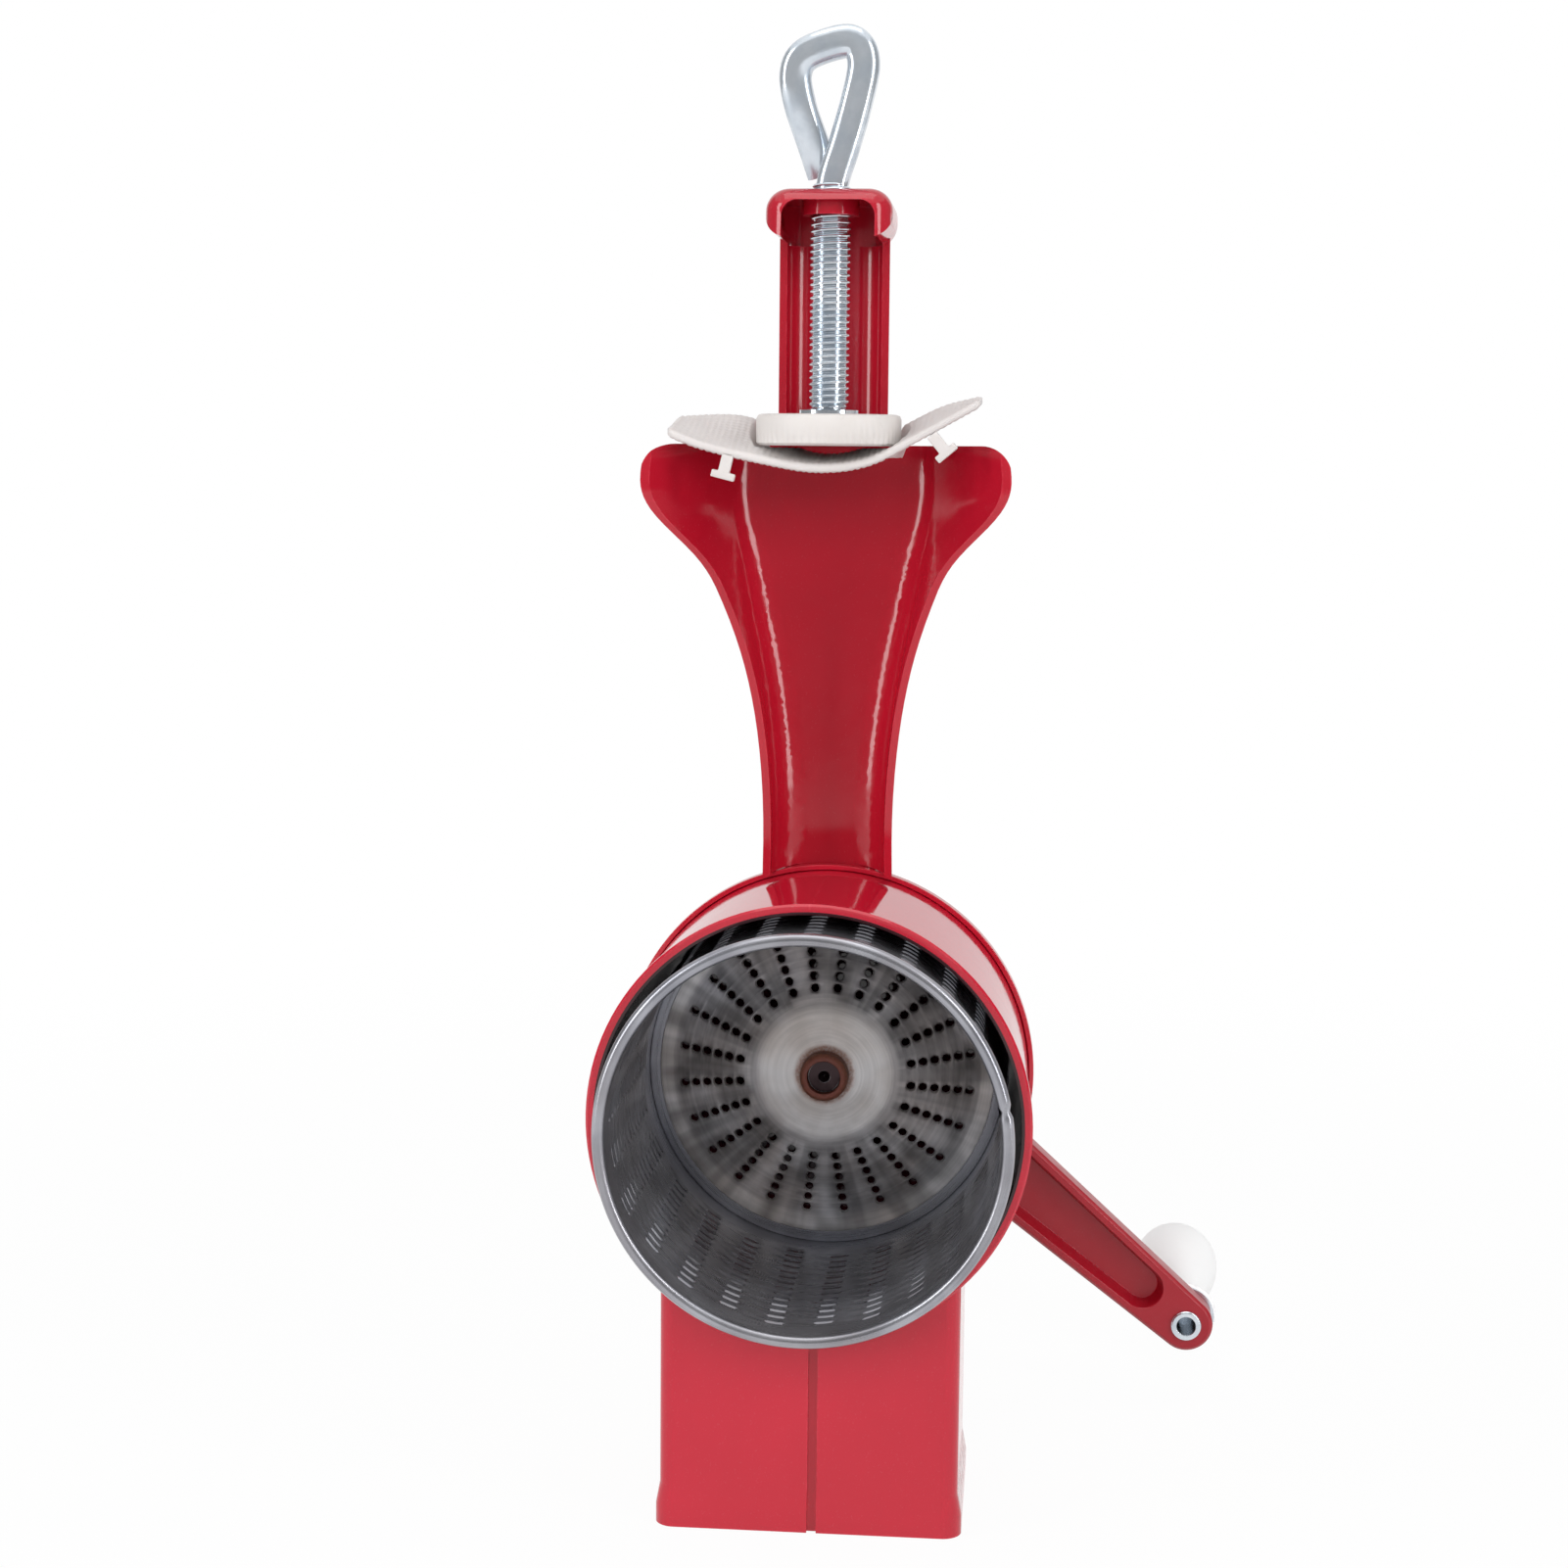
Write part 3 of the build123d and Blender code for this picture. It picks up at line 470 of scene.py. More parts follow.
    @staticmethod
    def _settled_dust(tree: bpy.types.NodeTree) -> None:
        """Mask of dust specks, denser where a surface faces up.

        Args:
            tree: The empty group.
        """
        wires, inputs, leave = EffectShop._sockets(
            tree, {"Scale": 1500.0, "Amount": 0.3}, {"Mask": "NodeSocketFloat"}
        )
        place = wires.place
        specks = wires.spread(wires.noise(place, inputs["Scale"], 1.0), *EffectShop.SPECK_BAND)
        lift = wires.axis(wires.node("NewGeometry").outputs["Normal"], "Z")
        upward = wires.spread(lift, *EffectShop.UPWARD_BAND, EffectShop.LEAST_DUST, 1.0)
        mask = wires.times(wires.times(specks, upward), inputs["Amount"])
        tree.links.new(mask, leave.inputs["Mask"])


# ---------------------------------------------------------------- finishes


class Finish:
    """A surface finish: builds its material the first time it is asked for."""

    name: str
    colour: Colour
    shade: Colour
    roughness: float
    rough_span: float

    def material(self) -> bpy.types.Material:
        """Find or build the material."""
        known = bpy.data.materials.get(self.name)
        if known:
            return known
        made = bpy.data.materials.new(self.name)
        wires = rewired(made)
        wires.node("OutputMaterial", {"Surface": self.surface(wires)})
        return made

    def surface(self, wires: Wiring) -> Socket:
        """Wire the shader.

        Args:
            wires: The material's wiring.

        Returns:
            The shader's socket.
        """
        raise NotImplementedError

    def cloud(self, wires: Wiring, scale: float, contrast: float) -> bpy.types.Node:
        """Drift between the finish's own two colours.

        Args:
            wires: The material's wiring.
            scale: How fine the drift is.
            contrast: How much of the second colour shows at most.

        Returns:
            The group node, with Colour and Mask.
        """
        inputs = {"Colour": self.colour, "Second": self.shade, "Scale": scale, "Contrast": contrast}
        return EffectShop.place(wires, SharedEffect.MOTTLE, inputs)

    def rough(self, wires: Wiring, value: Socket, low: float = 0.0, high: float = 1.0) -> Socket:
        """Spread the finish's roughness over a range of a value.

        Args:
            wires: The material's wiring.
            value: The value.
            low: Where the finish is smoothest.
            high: Where it is roughest.

        Returns:
            The roughness's socket.
        """
        return wires.spread(value, low, high, self.roughness, self.roughness + self.rough_span)

    @staticmethod
    def shader(wires: Wiring, height: Socket, depth: float,
               inputs: dict) -> Socket:
        """Wire the shader with a bump in its surface.

        Args:
            wires: The material's wiring.
            height: The bump's height from 0 to 1.
            depth: What a height of 1 stands for, in metres.
            inputs: The shader's other inputs.

        Returns:
            The shader's socket.
        """
        bumped = wires.node("Bump", {"Height": height, "Distance": depth, "Strength": 1.0})
        return wires.node("BsdfPrincipled", {**inputs, "Normal": bumped.outputs["Normal"]}).outputs[0]


@dataclass(frozen=True)
class Enamel(Finish):
    """Sprayed enamel over sheet steel: a soft drift of tone, orange peel, rubbed edges and dust."""

    name: str
    colour: Colour
    shade: Colour
    edge: Colour
    roughness: float = 0.2
    specular: float = 0.5
    peel: float = 0.003 * MM
    speck: float = 0.1
    speck_scale: float = 2600.0
    speck_colour: Colour = linear(225, 170, 175)
    drift: Pair = (26.0, 0.5)
    wear_reach: float = 0.5 * MM
    wear: float = 0.55
    rough_span: float = 0.05

    def surface(self, wires: Wiring) -> Socket:
        """Wire the enamel.

        Args:
            wires: The material's wiring.

        Returns:
            The shader's socket.
        """
        shop = EffectShop
        drift = self.cloud(wires, *self.drift)
        worn = shop.place(wires, SharedEffect.EDGE_WEAR, {"Radius": self.wear_reach, "Amount": self.wear})
        dust = shop.place(wires, SharedEffect.DUST, {"Scale": self.speck_scale, "Amount": self.speck})
        grain = shop.place(wires, SharedEffect.GRAIN, {"Scale": 420.0, "Softness": 0.8})
        base = wires.blend(worn.outputs["Mask"], drift.outputs["Colour"], self.edge)
        base = wires.blend(dust.outputs["Mask"], base, self.speck_colour)
        base = self.tone(wires, base)
        rough = self.rough(wires, grain.outputs["Mask"])
        inputs = {"Base Color": base, "Roughness": rough, "Specular IOR Level": self.specular}
        return self.shader(wires, grain.outputs["Height"], self.peel, inputs)

    def tone(self, wires: Wiring, base: Socket) -> Socket:
        """Change the enamel's colour by place; plain enamel stays as it is.

        Args:
            wires: The material's wiring.
            base: The enamel's colour.

        Returns:
            The colour's socket.
        """
        return base


@dataclass(frozen=True)
class InsideShadedEnamel(Enamel):
    """Enamel with painted shade: it turns dark inside a barrel round the drum's axis, in place of the shade
    inside the housing.
    """

    # painted shade: the dark colour that stands in for the shade inside the housing
    painted_inside_shade: Colour = linear(46, 12, 18)
    barrel: float = 40.0 * MM
    behind: float = 0.0

    def tone(self, wires: Wiring, base: Socket) -> Socket:
        """Paint shade into the enamel inside the barrel, from its mouth to a plane behind it.

        Args:
            wires: The material's wiring.
            base: The enamel's colour.

        Returns:
            The colour's socket.
        """
        brush = EffectShop.place(wires, SharedEffect.SPIN_BRUSH, {"Centre": (0.0, 0.0, Axes.drum_height)})
        within = wires.spread(brush.outputs["Radius"], self.barrel, self.barrel + 0.1 * MM, 1.0, 0.0)
        along = wires.axis(wires.place, "Y")
        before = wires.spread(along, self.behind, self.behind + 0.1 * MM, 1.0, 0.0)
        # painted shade inside the barrel; it also darkens the back plate seen through the drum end's holes
        return wires.blend(wires.times(within, before), base, self.painted_inside_shade)


@dataclass(frozen=True)
class Plating(Finish):
    """Bright plated or turned steel with cloudy tone and fine handling marks."""

    name: str
    colour: Colour
    shade: Colour
    roughness: float = 0.22
    grain: float = 0.01 * MM
    polish: float = 1.0
    clouding: Pair = (160.0, 0.7)
    wear_reach: float = 0.3 * MM
    wear: float = 0.5
    bared: Colour = (0.85, 0.85, 0.86)
    rough_span: float = 0.14

    def surface(self, wires: Wiring) -> Socket:
        """Wire the plating.

        Args:
            wires: The material's wiring.

        Returns:
            The shader's socket.
        """
        shop = EffectShop
        cloud = self.cloud(wires, *self.clouding)
        worn = shop.place(wires, SharedEffect.EDGE_WEAR, {"Radius": self.wear_reach, "Amount": self.wear})
        grain = shop.place(wires, SharedEffect.GRAIN, {"Scale": 1400.0, "Softness": 0.5})
        base = wires.blend(worn.outputs["Mask"], cloud.outputs["Colour"], self.bared)
        rough = self.rough(wires, cloud.outputs["Mask"])
        inputs = {"Base Color": base, "Metallic": self.polish, "Roughness": rough}
        return self.shader(wires, grain.outputs["Height"], self.grain, inputs)


@dataclass(frozen=True)
class SpunSteel(Finish):
    """Stainless sheet turned on a lathe: brushed rings, cloudy tone, rust round a hub, and optional painted
    light: dark rays and light and dark patches that stand in for reflections.
    """

    name: str
    colour: Colour
    shade: Colour
    warm: Colour
    roughness: float = 0.26
    # painted light: how deeply the painted rays darken and lighten the colour
    rays: float = 0.0
    painted_rays_from: float = 0.0
    painted_rays_fade: float = 1.5 * MM
    polish: float = 0.85
    rust_from: float = 0.0
    rust_to: float = 0.0
    rust_ragged: float = 0.7 * MM
    stain_colour: Colour = linear(150, 96, 70)
    rust_colour: Colour = linear(104, 44, 34)
    brushing: float = 0.012 * MM
    clouding: Pair = (75.0, 0.8)
    warm_share: float = 0.45
    warm_scale: float = 38.0
    rough_span: float = 0.12

    def surface(self, wires: Wiring) -> Socket:
        """Wire the steel.

        Args:
            wires: The material's wiring.

        Returns:
            The shader's socket.
        """
        shop = EffectShop
        turning = {"Centre": (0.0, 0.0, Axes.drum_height), "Rings": 1500.0, "Rays": 26.0}
        brush = shop.place(wires, SharedEffect.SPIN_BRUSH, turning)
        cloud = self.cloud(wires, *self.clouding)
        tint = shop.place(wires, SharedEffect.MOTTLE, {"Scale": self.warm_scale})
        share = wires.times(tint.outputs["Mask"], self.warm_share)
        base = wires.blend(share, cloud.outputs["Colour"], self.warm)
        streaks = wires.spread(brush.outputs["Rings"], 0.3, 0.7, 0.86, 1.08)
        base = wires.blend(1.0, base, streaks, "MULTIPLY")
        # painted light: rays and patches multiplied into the colour outside an inner radius stand in for
        # reflections in the dished end
        if self.rays:
            ray = wires.spread(brush.outputs["Rays"], 0.38, 0.62, 1.0 - self.rays, 1.0 + self.rays * 0.4)
            outside = wires.spread(brush.outputs["Radius"], self.painted_rays_from, self.painted_rays_from + self.painted_rays_fade)
            base = wires.blend(outside, base, ray, "MULTIPLY")
            patch = wires.spread(wires.noise(wires.place, 130.0, 1.0), 0.34, 0.66, 0.62, 1.18)
            base = wires.blend(outside, base, patch, "MULTIPLY")
        metallic: object = self.polish
        rough = self.rough(wires, brush.outputs["Rings"], 0.2, 0.8)
        if self.rust_to:
            base, metallic, rough = self.rusted(wires, base, rough, brush.outputs["Radius"])
        grain = shop.place(wires, SharedEffect.GRAIN, {"Scale": 700.0, "Softness": 0.7})
        brushed = wires.times(brush.outputs["Rings"], 0.6)
        grained = wires.times(grain.outputs["Height"], 0.4)
        inputs = {"Base Color": base, "Metallic": metallic, "Roughness": rough}
        return self.shader(wires, wires.math("ADD", brushed, grained), self.brushing, inputs)

    def rusted(self, wires: Wiring, base: Socket, rough: Socket,
               radius: Socket) -> tuple:
        """Add the ring of rust round the hub.

        Args:
            wires: The material's wiring.
            base: The clean steel's colour.
            rough: The clean steel's roughness.
            radius: Distance from the drum's axis.

        Returns:
            Colour, metallic and roughness, with the rust in them.
        """
        place = wires.place
        ragged = wires.times(wires.math("SUBTRACT", wires.noise(place, 900.0, 4.0), 0.5), self.rust_ragged)
        distance = wires.math("ADD", radius, ragged)
        reach = self.rust_to - self.rust_from
        near = wires.spread(distance, self.rust_from - 0.5 * reach, self.rust_from, 0.0, 1.0)
        dark = wires.times(near, wires.spread(distance, self.rust_from, self.rust_to, 1.0, 0.0))
        stain = wires.times(near, wires.spread(distance, self.rust_to, self.rust_to + reach, 1.0, 0.0))
        speckle = wires.spread(wires.noise(place, 2300.0, 3.0), 0.35, 0.6, 0.55, 1.0)
        stain = wires.times(stain, speckle)
        base = wires.blend(wires.times(stain, 0.7), base, self.stain_colour)
        base = wires.blend(wires.times(dark, 0.8), base, self.rust_colour)
        clean = wires.math("SUBTRACT", 1.0, wires.math("MAXIMUM", dark, wires.times(stain, 0.8)))
        metallic = wires.times(clean, self.polish)
        rough = wires.math("MAXIMUM", rough, wires.times(stain, 0.7))
        return base, metallic, rough


@dataclass(frozen=True)
class Moulding(Finish):
    """Moulded plastic: slight marbling, soft gloss and a fine moulded skin."""

    name: str
    colour: Colour
    shade: Colour
    roughness: float = 0.42
    skin: float = 0.02 * MM
    glow: float = 0.0
    glow_reach: Triple = (1.2 * MM, 1.0 * MM, 0.8 * MM)
    dust: float = 0.15
    dust_colour: Colour = linear(168, 156, 148)
    marbling: Pair = (60.0, 0.6)
    rough_span: float = 0.08

    def surface(self, wires: Wiring) -> Socket:
        """Wire the plastic.

        Args:
            wires: The material's wiring.

        Returns:
            The shader's socket.
        """
        shop = EffectShop
        marble = self.cloud(wires, *self.marbling)
        dust = shop.place(wires, SharedEffect.DUST, {"Scale": 900.0, "Amount": self.dust})
        grain = shop.place(wires, SharedEffect.GRAIN, {"Scale": 800.0, "Softness": 0.6})
        base = wires.blend(dust.outputs["Mask"], marble.outputs["Colour"], self.dust_colour)
        rough = self.rough(wires, grain.outputs["Mask"])
        inputs = {
            "Base Color": base,
            "Roughness": rough,
            "Subsurface Weight": self.glow,
            "Subsurface Radius": self.glow_reach,
            "Subsurface Scale": 1.0,
        }
        return self.shader(wires, grain.outputs["Height"], self.skin, inputs)


FRAME_ENAMEL = Enamel("frame_red_enamel", linear(176, 22, 42), linear(164, 16, 35), linear(206, 60, 78), 0.1)
# the housing's enamel carries painted shade inside the drum's barrel
HOUSING_ENAMEL = InsideShadedEnamel(
    "housing_red_enamel", linear(190, 24, 48), linear(180, 20, 42), linear(216, 62, 80), 0.06,
    barrel=Span.of("drum_shell").size.z / 2 + 1.7 * MM, behind=Span.of("back_plate").low.y + 2.6 * MM,
)
CRANK_ENAMEL = Enamel("crank_red_enamel", linear(160, 14, 34), linear(144, 10, 28), linear(206, 84, 96), 0.3)
ZINC = Plating("zinc_plate", linear(220, 226, 232), linear(184, 194, 204), 0.12, polish=0.95)
LOOP_ZINC = Plating("loop_zinc_plate", linear(214, 221, 228), linear(182, 192, 202), 0.12, polish=0.72)
BRASS = Plating("bush_brass", linear(204, 176, 120), linear(176, 148, 96), 0.3)
TURNED_STEEL = Plating("turned_steel", linear(150, 146, 144), linear(118, 108, 102), 0.34)
SHELL_STEEL = SpunSteel(
    "drum_shell_steel", linear(176, 177, 184), linear(140, 141, 150), linear(160, 156, 158), 0.24
)
# the dished end carries painted light: painted rays and patches stand in for its reflections
END_STEEL = SpunSteel(
    "drum_end_steel", linear(206, 205, 207), linear(150, 148, 150), linear(196, 182, 172), 0.3,
    rays=0.3, painted_rays_from=14.2 * MM, polish=0.6, rust_from=4.3 * MM, rust_to=5.4 * MM,
)
HUB_RUSTY = SpunSteel(
    "hub_rusty_steel", linear(88, 74, 72), linear(62, 50, 50), linear(110, 62, 48), 0.4,
    rust_from=3.6 * MM, rust_to=5.2 * MM,
)
SHAFT_END = Plating("shaft_end_steel", linear(66, 54, 56), linear(42, 32, 34), 0.36)
DISC_PLASTIC = Moulding("disc_ivory_plastic", linear(214, 209, 206), linear(206, 200, 196), 0.45, glow=0.08)
PAD_PLASTIC = Moulding("pad_woven_plastic", linear(212, 207, 205), linear(204, 198, 196), 0.5, glow=0.08)
GRIP_PLASTIC = Moulding(
    "grip_white_plastic", linear(252, 252, 252), linear(249, 249, 249), 0.3, skin=0.003 * MM, dust=0.0
)


# ---------------------------------------------------------------- mesh work


def into_scene(name: str, data: bpy.types.ID) -> Piece:
    """Make an object of a mesh, light or camera and link it to the scene.

    Args:
        name: The object's name.
        data: Its data.

    Returns:
        The new object.
    """
    made = bpy.data.objects.new(name, data)
    bpy.context.scene.collection.objects.link(made)
    return made


def smooth(piece: Piece, sharp_from: float = 35.0) -> Piece:
    """Shade a piece smooth, with edges kept sharp from an angle on.

    Args:
        piece: The piece.
        sharp_from: That angle in degrees.

    Returns:
        The piece.
    """
    piece.data.shade_smooth()
    piece.data.set_sharp_from_angle(angle=math.radians(sharp_from))
    return piece


class Sheetwork:
    """Collects the points and faces of one piece."""

    def __init__(self) -> None:
        """Start with nothing."""
        self.points: list[Vector] = []
        self.faces: list[tuple[int, ...]] = []

    def row(self, points: Iterable[Sequence[float]]) -> list[int]:
        """Add points.

        Args:
            points: Their places.

        Returns:
            Their numbers.
        """
        start = len(self.points)
        self.points.extend(Vector(point) for point in points)
        return list(range(start, len(self.points)))

    def bridge(self, first: list[int], second: list[int], closed: bool = True) -> None:
        """Join two rows of as many points with quads.

        Args:
            first: One row's point numbers.
            second: The other row's.
            closed: True if each row is a ring.
        """
        count = len(first)
        for at in range(count if closed else count - 1):
            after = (at + 1) % count
            self.faces.append((first[at], first[after], second[after], second[at]))

    def skin(self, rows: Sequence[list[int]], closed: bool = True) -> None:
        """Join every row to the next.

        Args:
            rows: The rows in order, each of as many points.
            closed: True if each row is a ring.
        """
        for first, second in zip(rows, rows[1:]):
            self.bridge(first, second, closed)

    def cap(self, ring: list[int]) -> None:
        """Close a ring with one face.

        Args:
            ring: The ring's point numbers.
        """
        self.faces.append(tuple(ring))

    def spin(self, profile: Sequence[Pair], place: Placer,
             segments: int, closed: bool = True) -> None:
        """Turn a profile round an axis.

        Args:
            profile: Pairs of a place along the axis and a radius.
            place: Turns a place along the axis, a radius and a heading in degrees into a point.
            segments: How many steps go round.
            closed: True if the profile's last point joins its first.
        """
        rings = [
            self.row(place(along, radius, 360 * step / segments) for step in range(segments))
            for along, radius in profile
        ]
        self.skin(rings + rings[:1] if closed else rings)

    def piece(self, name: str, weld: float = 0.0005 * MM) -> Piece:
        """Make the object.

        Args:
            name: The piece's name.
            weld: How near two points are to count as one.

        Returns:
            The new object, in the scene.
        """
        mesh = bpy.data.meshes.new(name)
        mesh.from_pydata([tuple(point) for point in self.points], [], self.faces)
        form = bmesh.new()
        form.from_mesh(mesh)
        bmesh.ops.remove_doubles(form, verts=form.verts, dist=weld)
        bmesh.ops.dissolve_degenerate(form, edges=form.edges, dist=weld)
        bmesh.ops.recalc_face_normals(form, faces=form.faces)
        form.to_mesh(mesh)
        form.free()
        return into_scene(name, mesh)


def carried(node: str, name: str, edge_round: float, sharp_from: float = 32.0) -> Piece:
    """Copy a node's mesh into a new piece with its flat faces joined and its hard edges rounded.

    Args:
        node: The frame's node.
        name: The piece's name.
        edge_round: How far each rounded edge reaches.
        sharp_from: Edges bent by more than this many degrees are rounded.

    Returns:
        The new object, in the scene.
    """
    form = bmesh.new()
    form.from_mesh(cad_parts[node].data)
    bmesh.ops.remove_doubles(form, verts=form.verts, dist=0.002 * MM)
    bmesh.ops.dissolve_degenerate(form, edges=form.edges, dist=0.002 * MM)
    bmesh.ops.dissolve_limit(
        form, angle_limit=math.radians(0.4), verts=form.verts, edges=form.edges, use_dissolve_boundaries=False
    )
    sharp = math.radians(sharp_from)
    hard = [edge for edge in form.edges if len(edge.link_faces) == 2 and edge.calc_face_angle() > sharp]
    if hard:
        bmesh.ops.bevel(
            form, geom=hard, offset=edge_round, segments=3, profile=0.5, affect="EDGES", clamp_overlap=True
        )
    bmesh.ops.recalc_face_normals(form, faces=form.faces)
    mesh = bpy.data.meshes.new(name)
    form.to_mesh(mesh)
    form.free()
    made = smooth(into_scene(name, mesh))
    shading = made.modifiers.new("even_shading", "WEIGHTED_NORMAL")
    shading.mode = "FACE_AREA"
    shading.weight = 80
    shading.keep_sharp = True
    return made


def dress(piece: Piece, finish: Finish, body: Body, slot: Slot, *nodes: str) -> Piece:
    """Give a new piece its material and body, and hide the nodes that it stands for.

    Args:
        piece: The piece.
        finish: Its finish.
        body: The body that it moves with.
        slot: The record's slot that its finish comes from; not used.
        nodes: The frame's nodes that it replaces.

    Returns:
        The piece.
    """
    piece.data.materials.clear()
    piece.data.materials.append(finish.material())
    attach(piece, body.value)
    if nodes:
        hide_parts(*nodes)
    LOG.info("%s: %d faces, rides on %s", piece.name, len(piece.data.polygons), body.value)
    return piece


def dress_carried(node: str, work: str, edge_round: float, finish: Finish, body: Body, slot: Slot) -> None:
    """Put a copy with rounded edges in a node's place.

    Args:
        node: The frame's node.
        work: How it is made, which ends the piece's name.
        edge_round: How far each rounded edge reaches.
        finish: Its finish.
        body: The body that it moves with.
        slot: The record's slot that its finish comes from.
    """
    dress(carried(node, f"{node}_{work}", edge_round), finish, body, slot, node)


def dress_node(node: str, finish: Finish) -> None:
    """Give a carried-over node of the frame its material.

    Args:
        node: The node's name.
        finish: Its finish.
    """
    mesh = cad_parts[node].data
    mesh.materials.clear()
    mesh.materials.append(finish.material())
    LOG.info("%s: node kept, %s", node, finish.name)


def drum_place(along: float, radius: float, heading: float) -> Vector:
    """Point round the drum's axis.

    Args:
        along: Its place along Y.
        radius: Its distance from the axis.
        heading: Its heading in degrees, from +X towards +Z.

    Returns:
        The point.
    """
    turn = math.radians(heading)
    return Vector((radius * math.cos(turn), along, Axes.drum_height + radius * math.sin(turn)))


def screw_place(along: float, radius: float, heading: float) -> Vector:
    """Point round the clamp screw's axis.

    Args:
        along: Its height.
        radius: Its distance from the axis.
        heading: Its heading in degrees, from +X towards +Y.

    Returns:
        The point.
    """
    turn = math.radians(heading)
    return Vector((radius * math.cos(turn), Axes.screw_y + radius * math.sin(turn), along))


class Probe:
    """Measures a node of the frame by casting rays at its mesh."""

    def __init__(self, node: str) -> None:
        """Index the node's mesh.

        Args:
            node: The node's name.
        """
        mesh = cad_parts[node].data
        faces = [tuple(face.vertices) for face in mesh.polygons]
        self.tree = BVHTree.FromPolygons([vertex.co for vertex in mesh.vertices], faces)

    def meet(self, start: Vector, heading: Vector) -> Vector | None:
        """Find where a ray first meets the node.

        Args:
            start: Where the ray starts.
            heading: Which way it goes.

        Returns:
            The point, or None if it misses.
        """
        return self.tree.ray_cast(start, heading)[0]


# ---------------------------------------------------------------- perforated sheet


@dataclass(frozen=True)
class Punch:
    """One punched hole in its cell of sheet, as rings from the cell's border in to the hole.

    A cell's own places run from -1 to 1 across and along it.
    """

    across: int = 4
    along: int = 2

    def level(self, lift: float = 0.0) -> list[float]:
        """One lift for each point of a ring, all the same.

        Args:
            lift: How far the ring stands off the sheet.

        Returns:
            The lifts.
        """
        return [lift] * (2 * (self.across + self.along))

    def border(self) -> list[Pair]:
        """Places round the cell's border, in order from its lower left corner."""
        places = [(-1 + 2 * step / self.across, -1.0) for step in range(self.across)]
        places += [(1.0, -1 + 2 * step / self.along) for step in range(self.along)]
        places += [(1 - 2 * step / self.across, 1.0) for step in range(self.across)]
        places += [(-1.0, 1 - 2 * step / self.along) for step in range(self.along)]
        return places

    def oval(self, middle: float, half_across: float, half_along: float,
             square: float) -> list[Pair]:
        """Places round an oval, in the border's order.

        Args:
            middle: How far its middle lies across from the cell's.
            half_across: Half its width.
            half_along: Half its height.
            square: 2 for an ellipse, and more for a blunter form.

        Returns:
            The places.
        """
        places = []
        for across, along in self.border():
            turn = math.atan2(along, across)
            cosine, sine = math.cos(turn), math.sin(turn)
            reach = (abs(cosine) ** square + abs(sine) ** square) ** (-1 / square)
            places.append((middle + half_across * reach * cosine, half_along * reach * sine))
        return places


class Perforation:
    """Builds one punched cell after another on a sheet that a function places."""

    def __init__(self, work: Sheetwork, near: Placer, sheet: float) -> None:
        """Keep what every cell shares.

        Args:
            work: Where the cells are collected.
            near: Turns a place across, a place along and a lift off the sheet into a point.
            sheet: The sheet's thickness, along the lift.
        """
        self.work = work
        self.near = near
        self.sheet = sheet

    def cell(self, rings: Sequence[tuple[Sequence[Pair], Sequence[float]]],
             middle: Pair, half: Pair) -> None:
        """Add one cell.

        Args:
            rings: From the border in, each ring's places in the cell and its lifts.
            middle: The cell's middle on the sheet.
            half: Half its size on the sheet.
        """
        sides = []
        for offset in (0.0, self.sheet):
            rows = [
                self.work.row(
                    self.near(middle[0] + half[0] * place[0], middle[1] + half[1] * place[1], offset + lift)
                    for place, lift in zip(places, lifts)
                )
                for places, lifts in rings
            ]
            self.work.skin(rows)
            sides.append(rows[-1])
        self.work.bridge(sides[0], sides[1])

    def plain(self, heading: float, half: float, low: float, high: float,
              steps: tuple[int, int] = (4, 2)) -> None:
        """Add a patch of plain sheet.

        Args:
            heading: The patch's middle across the sheet.
            half: Half its width.
            low: Where it starts along the sheet.
            high: Where it ends.
            steps: How many steps go across and along.
        """
        across, along = steps
        headings = [heading + half * (2 * step / across - 1) for step in range(across + 1)]
        places = [(low + high) / 2 + (high - low) / 2 * (2 * step / along - 1) for step in range(along + 1)]
        for offset in (0.0, self.sheet):
            rows = [self.work.row(self.near(turn, place, offset) for turn in headings) for place in places]
            self.work.skin(rows, closed=False)


# ---------------------------------------------------------------- sub-assemblies


